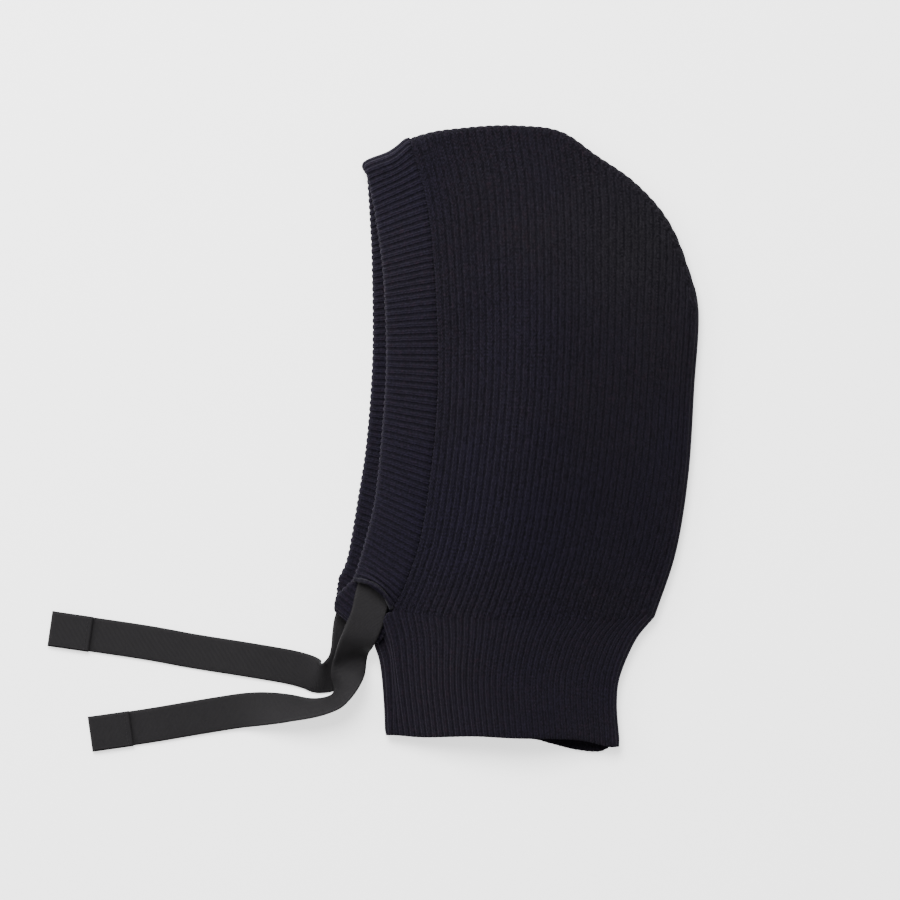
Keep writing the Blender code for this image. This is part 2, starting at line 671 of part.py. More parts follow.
def add_ties():
    """Both ties, each on an empty at its tunnel mouth."""
    full = TAPE_WIDTH / 2 - 0.0010
    left = add_pivot("pull_left", LEFT_MOUTH)
    add_root("tie_left_root", LEFT_MOUTH, LEFT_PULL, LEFT_ROOT, BEND_HALF_WIDTH, left)
    add_tie("tie_left", LEFT_TIE, BEND_HALF_WIDTH, left)
    right = add_pivot("pull_right", RIGHT_MOUTH)
    add_root("tie_right_root", RIGHT_MOUTH, RIGHT_PULL, RIGHT_ROOT, full, right)
    add_tie("tie_right", RIGHT_TIE, full, right)


def main():
    for old in list(bpy.data.objects):
        bpy.data.objects.remove(old, do_unlink=True)
    add_side("hood_side_left", upper=True)
    add_side("hood_side_right", upper=False)
    add_crown_seam()
    add_neck()
    stations = band_stations()
    add_face_band(stations)
    add_tunnel_tape(stations)
    add_band_seams(stations)
    add_mouth_rims(stations)
    add_chin_band()
    add_ties()


main()
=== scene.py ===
# %% [markdown]
# # A knitted rib balaclava with a drawstring, laid flat
# The hood is a soft wool rib, its neck and the doubled band round the face are a tighter one, and
# a flat woven tape runs through the band and hangs out as two ties.  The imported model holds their
# places, sizes and joints.  Here fine surfaces with real ribs replace the plain solids, and each
# finish is a small tree of shader nodes.

# %% Load the frame
import math

import bmesh
import bpy
import numpy as np
from mathutils import Matrix, Vector


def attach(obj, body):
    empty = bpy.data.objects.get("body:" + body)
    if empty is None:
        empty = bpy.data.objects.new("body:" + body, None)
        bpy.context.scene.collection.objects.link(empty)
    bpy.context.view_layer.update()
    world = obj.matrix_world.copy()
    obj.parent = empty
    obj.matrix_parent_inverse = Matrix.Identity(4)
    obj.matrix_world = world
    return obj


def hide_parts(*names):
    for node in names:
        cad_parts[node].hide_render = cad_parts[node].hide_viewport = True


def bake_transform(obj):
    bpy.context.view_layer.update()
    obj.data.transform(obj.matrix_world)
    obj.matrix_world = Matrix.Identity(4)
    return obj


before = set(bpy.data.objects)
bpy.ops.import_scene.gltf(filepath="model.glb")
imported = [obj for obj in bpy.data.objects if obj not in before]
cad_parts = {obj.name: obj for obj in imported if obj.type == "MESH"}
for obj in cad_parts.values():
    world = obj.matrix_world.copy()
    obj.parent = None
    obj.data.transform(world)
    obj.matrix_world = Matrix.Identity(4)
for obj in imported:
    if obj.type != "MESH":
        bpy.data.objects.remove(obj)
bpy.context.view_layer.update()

# %% [markdown]
# ## The camera and the light
# A garment laid flat is shown from straight above with a long lens, so nothing leans.  An unturned
# camera looks down -Z with +Y upwards.  One large soft light hangs over the hood and a weaker one
# comes from the side of the face, which draws the ribs without hard shadows.

# %% Camera, floor and lights
MM = 0.001
VIEW_CENTRE = (-0.037, -0.0064)
VIEW_WIDTH = 0.522
CAMERA_HEIGHT = 2.6
SENSOR = 36  # millimetres
FLOOR_SIZE = 6
FLOOR_GAP = 0.0002
FLOOR_WHITE, FLOOR_GLOW = 0.92, 1.2
SKY_GLOW = 0.75


def link(thing):
    """Puts a new object into the scene."""
    bpy.context.collection.objects.link(thing)
    return thing


def add_camera():
    """A camera straight above, whose lens frames the view's width."""
    data = bpy.data.cameras.new("camera")
    data.sensor_width = SENSOR
    data.lens = data.sensor_width * CAMERA_HEIGHT / VIEW_WIDTH
    data.clip_end = 20
    camera = link(bpy.data.objects.new("camera", data))
    camera.location = (*VIEW_CENTRE, CAMERA_HEIGHT)
    bpy.context.scene.camera = camera


def add_soft_light(name, place, size, power):
    """A square soft box that faces the middle of the hood."""
    data = bpy.data.lights.new(name, "AREA")
    data.size = size
    data.energy = power
    light = link(bpy.data.objects.new(name, data))
    light.location = place
    light.rotation_euler = (-Vector(place)).to_track_quat("-Z", "Y").to_euler()


def add_floor():
    """A wide pale table top just under the hood."""
    mesh = bpy.data.meshes.new("floor")
    work = bmesh.new()
    bmesh.ops.create_grid(work, x_segments=1, y_segments=1, size=FLOOR_SIZE)
    bmesh.ops.translate(work, verts=work.verts, vec=(0, 0, -FLOOR_GAP))
    work.to_mesh(mesh)
    work.free()
    paper = bpy.data.materials.new("paper")
    paper.use_nodes = True
    shader = paper.node_tree.nodes["Principled BSDF"]
    shader.inputs["Base Color"].default_value = (*[FLOOR_WHITE] * 3, 1)
    shader.inputs["Roughness"].default_value = 0.9
    shader.inputs["Emission Color"].default_value = (1, 1, 1, 1)
    shader.inputs["Emission Strength"].default_value = FLOOR_GLOW
    mesh.materials.append(paper)
    link(bpy.data.objects.new("floor", mesh))


def add_sky():
    """Even light from everywhere, as from the walls of a white studio."""
    world = bpy.data.worlds.new("studio")
    world.use_nodes = True
    background = world.node_tree.nodes["Background"]
    background.inputs["Color"].default_value = (1, 1, 1, 1)
    background.inputs["Strength"].default_value = SKY_GLOW
    bpy.context.scene.world = world


add_camera()
add_floor()
add_sky()
add_soft_light("overhead", (-0.45, 1.0, 1.7), 1.1, 87)
add_soft_light("face_side", (-1.4, 0.7, 0.8), 1.0, 28)
print("camera sees", VIEW_WIDTH * 1000, "mm across")

# %% [markdown]
# ## Curves and surfaces that everything shares
# An outline is a handful of points with a smooth curve through them.  A surface between four such
# edges is a Coons patch: it blends opposite edges, so its grid lines lean the way the nearest edge
# leans.  The ribs of a shaped knit do just that, so one grid places the surface and its ribs.

# %% Curve helpers

def mm(*points):
    """Points given in millimetres, as an array in metres."""
    return np.array(points, float) * MM


def dense_curve(points, steps=60):
    """The smooth curve through the given points, finely divided."""
    first, last = 2 * points[0] - points[1], 2 * points[-1] - points[-2]
    p = np.vstack([first, points, last])
    t = (np.arange(steps) / steps)[:, None]
    pieces = []
    for a, b, c, d in zip(p, p[1:], p[2:], p[3:]):
        pieces.append(0.5 * (2 * b + (c - a) * t + (2 * a - 5 * b + 4 * c - d) * t ** 2
                             + (3 * b - a - 3 * c + d) * t ** 3))
    return np.vstack([*pieces, points[-1]])


def lengths(points):
    """Running length along a row of points."""
    steps = np.linalg.norm(np.diff(points, axis=0), axis=1)
    return np.concatenate([[0], np.cumsum(steps)])


def pick(curve, measure, values):
    """Points of the curve where a rising measure of it takes the given values."""
    return np.stack([np.interp(values, measure, axis) for axis in curve.T], axis=1)


def along(points, count):
    """Evenly spaced points on the smooth curve through the given ones."""
    curve = dense_curve(points)
    run = lengths(curve)
    return pick(curve, run, np.linspace(0, run[-1], count))


def with_height(points, heights):
    """Points in the plane with a height each."""
    return np.column_stack([points[:, :2], np.broadcast_to(heights, len(points))])


def unit(vectors):
    """The same directions, one long."""
    return vectors / np.linalg.norm(vectors, axis=-1, keepdims=True)


def outward(points):
    """Horizontal unit normals on the left of the direction of travel."""
    tangent = np.gradient(points[:, :2], axis=0)
    return unit(np.column_stack([-tangent[:, 1], tangent[:, 0], np.zeros(len(points))]))


def ease(t):
    """Rises from 0 to 1 with level ends."""
    t = np.clip(t, 0, 1)
    return t * t * (3 - 2 * t)


def coons(left, right, bottom, top):
    """Grid of points filling four boundary rows; rows run from bottom to top."""
    v = np.linspace(0, 1, len(left))[:, None, None]
    u = np.linspace(0, 1, len(bottom))[None, :, None]
    sides = (1 - u) * left[:, None] + u * right[:, None]
    ends = (1 - v) * bottom[None] + v * top[None]
    corners = ((1 - u) * (1 - v) * bottom[0] + u * (1 - v) * bottom[-1]
               + (1 - u) * v * top[0] + u * v * top[-1])
    return sides + ends - corners


# %% [markdown]
# ## Turning a grid of places into cloth
# Every knitted piece starts as Blender's own grid.  Its points are moved to their places, pushed
# out or in by the ribs, and given coordinates that count ribs and rows of stitches.  A Solidify
# modifier gives the thickness and copies the ribs inwards, where a real 1 by 1 rib shows them too.

# %% Grid cloth
RIB_ROUND = 0.75  # under 1, the rib is a full round cord and its groove is narrow


def rib_height(rib, groove=0.55):
    """Height across a rib: low in the groove, high on the rib, a dip between its two legs."""
    x = rib - np.floor(rib) - 0.5
    cord = (0.5 + 0.5 * np.cos(2 * math.pi * x)) ** RIB_ROUND
    return cord - 0.30 * np.exp(-(x / 0.10) ** 2) - groove


def surface_normals(places):
    """Unit normals of a grid of places, rows by columns."""
    normals = np.cross(np.gradient(places, axis=1), np.gradient(places, axis=0))
    return normals / np.maximum(np.linalg.norm(normals, axis=2, keepdims=True), 1e-12)


def grid_mesh(name, places, ribs, rows, corner=None):
    """A Blender grid moved to the given places, with knit coordinates as its UV map.

    A corner (row, column) cuts away the block beyond both.
    """
    high, wide = places.shape[:2]
    work = bmesh.new()
    bmesh.ops.create_grid(work, x_segments=wide - 1, y_segments=high - 1, size=1)
    work.verts.index_update()
    layer = work.loops.layers.uv.new("knit")
    spots = [(round((v.co.y + 1) / 2 * (high - 1)), round((v.co.x + 1) / 2 * (wide - 1)))
             for v in work.verts]
    for vert, (row, column) in zip(work.verts, spots):
        vert.co = places[row, column]
    for face in work.faces:
        for loop in face.loops:
            row, column = spots[loop.vert.index]
            loop[layer].uv = (ribs[row, column], rows[row, column])
        face.smooth = True
    if corner:
        block = [face for face in work.faces
                 if all(spots[v.index][0] >= corner[0] and spots[v.index][1] >= corner[1]
                        for v in face.verts)]
        bmesh.ops.delete(work, geom=block, context="FACES")
    return finished_mesh(name, work)


def finished_mesh(name, work):
    """The mesh of a bmesh that is no longer needed."""
    mesh = bpy.data.meshes.new(name)
    work.to_mesh(mesh)
    work.free()
    return mesh


def add_sheet(name, mesh, thickness, finish, offset=-1):
    """A piece of cloth or tape: the mesh, its thickness and its finish."""
    piece = link(bpy.data.objects.new(name, mesh))
    solid = piece.modifiers.new("thickness", "SOLIDIFY")
    solid.thickness = thickness
    solid.offset = offset
    mesh.materials.append(finish)
    return piece


# %% [markdown]
# ## The knit finish
# A column of knit stitches shows as a row of little Vs: two plump legs that lean towards each
# other.  Between two ribs the backs of the loops show as low bars.  The group below draws both, as
# a height for the bump and as a painted shade: light on the legs and bars, dark in the grooves and
# dips where shadow falls.  Fine noise on top is the hairiness of wool.

# %% Shader node helpers

def new_group(name, inputs, outputs):
    """An empty shader node group with float inputs and outputs."""
    group = bpy.data.node_groups.new(name, "ShaderNodeTree")
    for label, value in inputs:
        socket = group.interface.new_socket(label, in_out="INPUT", socket_type="NodeSocketFloat")
        socket.default_value = value
    for label in outputs:
        group.interface.new_socket(label, in_out="OUTPUT", socket_type="NodeSocketFloat")
    return group, group.nodes.new("NodeGroupInput"), group.nodes.new("NodeGroupOutput")


def plug(tree, socket, value):
    """Sets a socket to a number or a colour, or links it to another socket."""
    if isinstance(value, (int, float)):
        socket.default_value = value
    elif isinstance(value, tuple):
        socket.default_value = (*value, 1)
    else:
        tree.links.new(value, socket)


def calc(tree, operation, a, b=0.0, c=0.0):
    """The result of one math node."""
    node = tree.nodes.new("ShaderNodeMath")
    node.operation = operation
    for socket, value in zip(node.inputs, (a, b, c)):
        plug(tree, socket, value)
    return node.outputs[0]


def hump(tree, x, middle, width):
    """A bell: 1 where x is at the middle, falling off over the width."""
    far = calc(tree, "DIVIDE", calc(tree, "SUBTRACT", x, middle), width)
    return calc(tree, "EXPONENT", calc(tree, "MULTIPLY", calc(tree, "MULTIPLY", far, far), -1.0))


def clamp(tree, x, top=1.0):
    """The value kept between 0 and the top."""
    return calc(tree, "MINIMUM", calc(tree, "MAXIMUM", x, 0.0), top)


def wave(tree, turns):
    """From 0 to 1 and back once for each turn, highest at whole turns."""
    cosine = calc(tree, "COSINE", calc(tree, "MULTIPLY", turns, 2 * math.pi))
    return calc(tree, "MULTIPLY_ADD", cosine, 0.5, 0.5)


def noise(tree, scale, detail=2.0):
    """Noise through the piece, from Object coordinates."""
    place = tree.nodes.new("ShaderNodeTexCoord").outputs["Object"]
    node = tree.nodes.new("ShaderNodeTexNoise")
    node.inputs["Scale"].default_value = scale
    node.inputs["Detail"].default_value = detail
    tree.links.new(place, node.inputs["Vector"])
    return node.outputs["Fac"]


def coordinates(tree, layer):
    """The two numbers of a UV map."""
    node = tree.nodes.new("ShaderNodeUVMap")
    node.uv_map = layer
    parts = tree.nodes.new("ShaderNodeSeparateXYZ")
    tree.links.new(node.outputs["UV"], parts.inputs["Vector"])
    return parts.outputs["X"], parts.outputs["Y"]


# %% [markdown]
# The legs stand at a spread from the middle of the rib, and a bead for each row makes them plump.
# A slow noise shifts the count of ribs and rows a little, because no knitting is perfectly even.

# %% The knit node group
YARN_GRAIN = 2600  # noise per metre: strands a third of a millimetre across
FLEECE_GRAIN = 800  # clumps of fibre, a little over a millimetre across
DRIFT_GRAIN = 260
LEG_WIDTH = 0.125  # in ribs
LEG_LEAN = -2.6  # rows that a leg climbs for each rib of width


def knit_group():
    """Height and shade of rib knitting, from a UV map that counts ribs and rows."""
    inputs = [("Bead", 0.5), ("Spread", 0.2), ("Wander", 0.20)]
    group, given, result = new_group("rib knitting", inputs, ["Height", "Shade"])
    rib, row = coordinates(group, "knit")
    drift = calc(group, "SUBTRACT", noise(group, DRIFT_GRAIN, 1.0), 0.5)
    drift = calc(group, "MULTIPLY", drift, given.outputs["Wander"])
    rib = calc(group, "ADD", rib, drift)
    row = calc(group, "MULTIPLY_ADD", drift, 3.0, row)
    x = calc(group, "ABSOLUTE", calc(group, "SUBTRACT", calc(group, "FRACT", rib), 0.5))
    leg = hump(group, x, given.outputs["Spread"], LEG_WIDTH)
    slanted = calc(group, "MULTIPLY_ADD", x, LEG_LEAN, row)
    stitch = wave(group, slanted)
    bead = calc(group, "MULTIPLY", calc(group, "SUBTRACT", stitch, 1.0), given.outputs["Bead"])
    vees = calc(group, "MULTIPLY", leg, calc(group, "ADD", bead, 1.0))
    low = wave(group, calc(group, "ADD", row, 0.5))
    bars = calc(group, "MULTIPLY", hump(group, x, 0.5, 0.13), low)
    middle = hump(group, x, 0.0, 0.12)
    strands = noise(group, YARN_GRAIN, 3.0)
    haze = calc(group, "MULTIPLY_ADD", noise(group, FLEECE_GRAIN, 3.0), 1.5, strands)
    height = calc(group, "MULTIPLY_ADD", bars, 0.20, vees)
    height = calc(group, "MULTIPLY_ADD", middle, 0.30, height)
    height = calc(group, "MULTIPLY_ADD", haze, 0.35, height)
    plug(group, result.inputs["Height"], height)
    # painted shade: lighter on the legs and bars, darker in the grooves between ribs, with fibre
    # noise mixed in
    shade = calc(group, "MULTIPLY_ADD", bars, 0.15, vees)
    shade = calc(group, "MULTIPLY_ADD", middle, 0.25, shade)
    shade = calc(group, "MULTIPLY_ADD", calc(group, "SUBTRACT", haze, 1.25), 2.2, shade)
    plug(group, result.inputs["Shade"], shade)
    return group


KNITTING = knit_group()
print("knit group has", len(KNITTING.nodes), "nodes")

# %% [markdown]
# The wool is an almost black navy.  The stitch shade is painted light and shade: it mixes the
# colour from a dark and a light one, lighter on the legs and darker in the grooves.  Both drift a
# little over the garment, as dyed wool does, and a painted patch of light lightens the back of the
# crown.  A weak sheen stands for the haze of fibre ends that lightens every rounded edge.

# %% Wool materials

def new_material(name, rough):
    """A material with its node tree and its shader."""
    made = bpy.data.materials.new(name)
    made.use_nodes = True
    shader = made.node_tree.nodes["Principled BSDF"]
    shader.inputs["Roughness"].default_value = rough
    return made, made.node_tree, shader


def blend_colours(tree, factor, dark, light):
    """A colour between two others."""
    node = tree.nodes.new("ShaderNodeMix")
    node.data_type = "RGBA"
    for socket, value in ((6, dark), (7, light), (0, factor)):
        plug(tree, node.inputs[socket], value)
    return node.outputs[2]


def add_bump(tree, shader, height, depth):
    """Lets a height tip the light on the surface; the depth is in metres."""
    bump = tree.nodes.new("ShaderNodeBump")
    bump.inputs["Distance"].default_value = depth
    bump.inputs["Strength"].default_value = 1.0
    tree.links.new(height, bump.inputs["Height"])
    tree.links.new(bump.outputs["Normal"], shader.inputs["Normal"])


def area(tree, centre, radius):
    """1 at a place on the garment, fading out over a radius; in metres."""
    place = tree.nodes.new("ShaderNodeTexCoord").outputs["Object"]
    parts = tree.nodes.new("ShaderNodeSeparateXYZ")
    tree.links.new(place, parts.inputs["Vector"])
    masks = [hump(tree, parts.outputs[i], centre[i], radius) for i in (0, 1)]
    return calc(tree, "MULTIPLY", *masks)


def wool(name, dark, light, bead, spread):
    """A wool rib between two tones; it drifts to violet low down and has painted light at the back.
    """
    made, tree, shader = new_material(name, 0.92)
    knit = tree.nodes.new("ShaderNodeGroup")
    knit.node_tree = KNITTING
    knit.inputs["Bead"].default_value = bead
    knit.inputs["Spread"].default_value = spread
    # painted shade: the stitch shade darkens the grooves and lightens the legs of the rib
    painted_light_and_fibre = clamp(tree, calc(tree, "MULTIPLY_ADD", knit.outputs["Shade"], 0.70, 0.18), 1.6)
    cloud = calc(tree, "SUBTRACT", noise(tree, CLOUD_GRAIN, 3.0), 0.5)
    cloud = calc(tree, "MULTIPLY_ADD", cloud, 1.6, 0.35)
    violet = calc(tree, "MULTIPLY_ADD", area(tree, VIOLET_PLACE, VIOLET_RADIUS), 0.75, cloud)
    bluer, painted_light_colour, redder = (tuple(c * k for c, k in zip(light, shift))
                             for shift in (BLUER, PAINTED_LIGHT_SHIFT, REDDER))
    flecks = calc(tree, "SUBTRACT", noise(tree, FLECK_GRAIN), 0.48)
    flecks = clamp(tree, calc(tree, "MULTIPLY", flecks, 5.0))
    base = blend_colours(tree, flecks, light, redder)
    lit = blend_colours(tree, clamp(tree, violet), base, bluer)
    # painted light: a lighter patch at the back of the crown stands for light falling there
    lit = blend_colours(tree, area(tree, PAINTED_LIGHT_PLACE, PAINTED_LIGHT_RADIUS), lit, painted_light_colour)
    mixed = blend_colours(tree, painted_light_and_fibre, dark, lit)
    mixed.node.clamp_factor = False
    plug(tree, shader.inputs["Base Color"], mixed)
    shader.inputs["Specular IOR Level"].default_value = 0.06
    shader.inputs["Sheen Weight"].default_value = 0.05
    shader.inputs["Sheen Roughness"].default_value = 0.5
    shader.inputs["Sheen Tint"].default_value = (0.45, 0.40, 0.55, 1)
    add_bump(tree, shader, knit.outputs["Height"], 0.00055)
    return made


VIOLET_PLACE, VIOLET_RADIUS = (-0.030, -0.040), 0.065
# painted light: place and size of the lighter patch at the back of the crown
PAINTED_LIGHT_PLACE, PAINTED_LIGHT_RADIUS = (0.075, 0.115), 0.045
FLECK_GRAIN = 420  # clumps of redder fibre, a little over two millimetres across
CLOUD_GRAIN = 18  # drifts of the dye, some five centimetres across
# the middle shift lightens the painted patch of light; the others are dye drift and redder flecks
BLUER, PAINTED_LIGHT_SHIFT, REDDER = (0.88, 0.80, 1.22), (1.35, 1.40, 1.20), (1.45, 0.98, 0.95)

HOOD_WOOL = wool("hood wool", (0.0018, 0.0016, 0.0026), (0.0086, 0.0075, 0.0108), 0.75, 0.23)
BAND_WOOL = wool("band wool", (0.0034, 0.0030, 0.0049), (0.0090, 0.0078, 0.0118), 0.35, 0.18)
NECK_WOOL = wool("neck wool", (0.0032, 0.0028, 0.0043), (0.0084, 0.0073, 0.0107), 0.45, 0.23)

# %% [markdown]
# ## The hood
# The hood is one knitted piece, folded at the centre back and linked along the crown, so it lies as
# two layers.  Each is one Coons patch between the face band, the neck line, the crown and the back
# fold, and its last rows and columns roll down into the fold.  Lofting cross-sections would also
# give the shape, but its ribs would not end at the crown as the real ones do.

# %% Outline of the hood
KNIT = 0.0026  # thickness of the hood's fabric
BAND_LAYER = 0.0020  # thickness of one layer of the band
BAND = 0.0062  # thickness of the doubled band with the tape in it
FOLD_RADIUS = 0.0053
FOREHEAD_RADIUS = 0.0080
CHIN_RADIUS = 0.0073
CHIN_LOW = 0.0042
CHIN_TOP = CHIN_LOW + 2 * CHIN_RADIUS
MOUTH_TOP = CHIN_TOP + 0.0042
BULGE = 0.0130  # how far the loose middle of the upper layer stands up
NECK_BULGE = 0.0130

FOREHEAD_CORNER = (-88.7, 159.5)
CROWN_START = (-61.5, 174.6)
CROWN_END = (107.0, 74.0)
NECK_BACK_TOP = (81.5, -103.0)
CROWN = mm(CROWN_START, (-39, 180), (4, 182.1), (27, 178.6), (47, 165), (70, 149), (89, 129),
           (100.8, 102), CROWN_END)
BACK = mm(CROWN_END, (104.5, 30), (101.2, -20), (94, -65), NECK_BACK_TOP)
NECK_BACK = mm(NECK_BACK_TOP, (70, -116), (62, -136), (60.3, -153), (61.5, -178))
NECK_FRONT = mm((-80.7, -119.5), (-78, -130), (-76, -152), (-75.3, -171.5))
NECK_BACK_OUT = np.array((0.91, -0.41, 0)) / math.hypot(0.91, 0.41)
CHIN_OUT = np.array((-0.696, -0.718, 0))
JOIN_LEFT = mm((-70.6, -99.0), (-61.6, -79), (-53.4, -51), (-46.3, 4), (-44.6, 45), (-46.5, 93),
               (-51, 135))
JOIN_RIGHT = mm((-70.4, -98.4), (-67, -72), (-60.5, -34), (-55.5, 0), (-52, 48), (-52, 100),
                (-54, 138))
NECK_LINE = mm((-80.7, -119.5), (-75.4, -109), (-70.4, -99.8), (-35, -103), (20, -104.5),
               (55, -104), NECK_BACK_TOP)
print("the crown is", round(lengths(dense_curve(CROWN))[-1] * 1000), "mm long")

# %% [markdown]
# The crown and the back are set in by the fold's radius, the face edge rises where the band is
# thick, and the loose middle of the upper layer stands up.  Quarter turns of ribs close the fold.

# %% The hood's surface
SIDE_RIBS = 36  # ribs from the face band to the back fold
FOLD_RIBS = 2  # ribs round each quarter turn of the fold
PER_RIB = 7  # grid columns to a rib
SIDE_GRID_ROWS = 72
FOLD_GRID = FOLD_RIBS * PER_RIB
FOREHEAD_SPAN = 0.045  # over this length the fold thins from the band's radius to its own
STITCH_ROW = 0.0020
RIB_DEPTH = 0.0006


def outline_parts():
    """The fold's outline as one smooth curve, parted at the back of the crown."""
    curve = dense_curve(np.vstack([CROWN, BACK[1:]]))
    spans = len(CROWN) + len(BACK) - 2
    split = (len(curve) - 1) * (len(CROWN) - 1) // spans
    return curve[:split + 1], curve[split:]


def crown_edge(count):
    """Places along the crown, spaced as the ribs are: mostly evenly from face to back."""
    curve = outline_parts()[0]
    run = lengths(curve)
    measure = 0.8 * (curve[:, 0] - curve[0, 0]) / np.ptp(curve[:, 0]) + 0.2 * run / run[-1]
    return pick(curve, measure, np.linspace(0, 1, count))


def fold_edge(columns, rows):
    """The folded outline from the forehead to the neck: points, normals and radii."""
    crown = crown_edge(columns)
    back = outline_parts()[1]
    run = lengths(back)
    back = pick(back, run, np.linspace(0, run[-1], rows))
    points = np.concatenate([crown, back[1:]])
    normals = outward(points)
    normals[-1] = NECK_BACK_OUT
    forehead = 1 - ease(lengths(points) / FOREHEAD_SPAN)
    return points, normals, FOLD_RADIUS + (FOREHEAD_RADIUS - FOLD_RADIUS) * forehead


def band_heights(count):
    """Height of the face band's upper surface from the chin to the forehead."""
    t = np.linspace(0, 1, count)
    rise = 0.0020 * ease((t - 0.18) / 0.3)
    fall = (MOUTH_TOP + 0.0020 - 2 * FOREHEAD_RADIUS) * ease((t - 0.62) / 0.38)
    return MOUTH_TOP + rise - fall


def neck_line_heights(t, upper):
    """Height of the outer surface along the neck line; t runs from the chin to the back."""
    if not upper:
        return np.zeros(len(t))
    front = 0.0150 + 0.0070 * ease(t / 0.08)
    return front + (2 * FOLD_RADIUS - front) * t + NECK_BULGE * np.sin(math.pi * t) ** 1.5


def neck_line():
    """The joint between hood and neck, drawn in by the fold radius at both ends."""
    ends = NECK_LINE.copy()
    ends[0] -= CHIN_OUT[:2] * CHIN_RADIUS
    ends[-1] -= NECK_BACK_OUT[:2] * FOLD_RADIUS
    return along(ends, 400)


def neck_row(xs, upper):
    """Places on the neck line with the given x."""
    line = neck_line()
    share = lengths(line) / lengths(line)[-1]
    turn = int(np.argmin(line[:, 0]))
    line, share = line[turn:], share[turn:]
    t = np.interp(xs, line[:, 0], share)
    return with_height(pick(line, line[:, 0], xs), neck_line_heights(t, upper))


def side_edges(upper):
    """Front, back, lower and upper edge rows of one side, inside its fold."""
    columns, rows = SIDE_RIBS * PER_RIB + 1, SIDE_GRID_ROWS + 1
    points, normals, radii = fold_edge(columns, rows)
    inset = with_height(points, 0) - normals * radii[:, None]
    inset[:, 2] = 2 * radii if upper else 0
    top, right = inset[:columns].copy(), inset[columns - 1:][::-1].copy()
    join = np.vstack([JOIN_LEFT if upper else JOIN_RIGHT, top[0, :2]])
    left = with_height(along(join, rows), band_heights(rows) if upper else 0)
    bottom = neck_row(np.linspace(left[0, 0], right[0, 0], columns), upper)
    left[0], right[0], left[-1] = bottom[0], bottom[-1], top[0]
    return left, right, bottom, top, points, normals, radii


def side_places(upper):
    """Outer surface of one side: a grid with its fold rows, and the knit coordinates."""
    left, right, bottom, top, points, normals, radii = side_edges(upper)
    flat = coons(left, right, bottom, top)
    rows, columns = flat.shape[:2]
    u, v = np.linspace(0, 1, columns)[None], np.linspace(0, 1, rows)[:, None]
    if upper:
        flat[:, :, 2] += BULGE * np.sin(math.pi * u ** 0.9) ** 1.1 * np.sin(math.pi * v) ** 1.25
    places = np.zeros((rows + FOLD_GRID, columns + FOLD_GRID, 3))
    places[:rows, :columns] = flat
    up = np.array((0, 0, 1.0 if upper else -1.0))
    centres = with_height(points, radii) - normals * radii[:, None]
    centres[:, 2] = radii

    def turned(index, share):
        angle = math.pi / 2 * share
        rays = normals[index] * math.sin(angle) + up * math.cos(angle)
        return centres[index] + rays * radii[index, None]

    crown, back = np.arange(columns), np.arange(columns - 1, len(points))[::-1]
    for k in range(1, FOLD_GRID + 1):
        places[rows + k - 1, :columns] = turned(crown, k / FOLD_GRID)
        places[:rows, columns + k - 1] = turned(back, k / FOLD_GRID)
    ribs = np.broadcast_to(np.arange(columns + FOLD_GRID) / PER_RIB, places.shape[:2])
    height = lengths(flat[:, columns // 2])
    crown_turn = math.pi / 2 * FOLD_RADIUS * np.arange(1, FOLD_GRID + 1) / FOLD_GRID
    stitches = np.concatenate([height, height[-1] + crown_turn]) / STITCH_ROW
    stitches = np.broadcast_to(stitches[:, None], places.shape[:2])
    return places, ribs, stitches, (rows, columns)


# %% [markdown]
# ## The neck
# The neck's ribs run on from the hood's.  Its grid runs round the whole tube: near side, back fold,
# far side and front fold.  The hem is the cast-on edge, and the far layer shows below the near one
# where the garment lies a little crooked.

# %% Neck surface
HEM_LEFT = mm((-75.3, -171.5), (-53, -172.4), (-24, -171.4), (0, -172.4), (35, -173.6),
              (61.5, -178))
HEM_RIGHT = mm((-75.3, -171.5), (-20, -172.5), (10, -174), (21, -176.5), (35, -180), (49, -181.3),
               (61.5, -178))
NECK_FRONT_RIBS = 3  # the part of the neck in front of the hood, under the chin
NECK_ROWS = 34
HEM_TURN = 0.0006  # the cast-on edge draws in
SLACK = 0.0006


def loose_hand(places, height):
    """The slow unevenness of cloth that was laid down by hand."""
    x, y = places[..., 0], places[..., 1]
    waves = (np.sin(61 * x + 23 * y + 0.7) * np.sin(17 * x - 47 * y + 1.9)
             + 0.6 * np.sin(103 * x - 31 * y) * np.sin(29 * x + 88 * y + 0.4))
    return height * waves


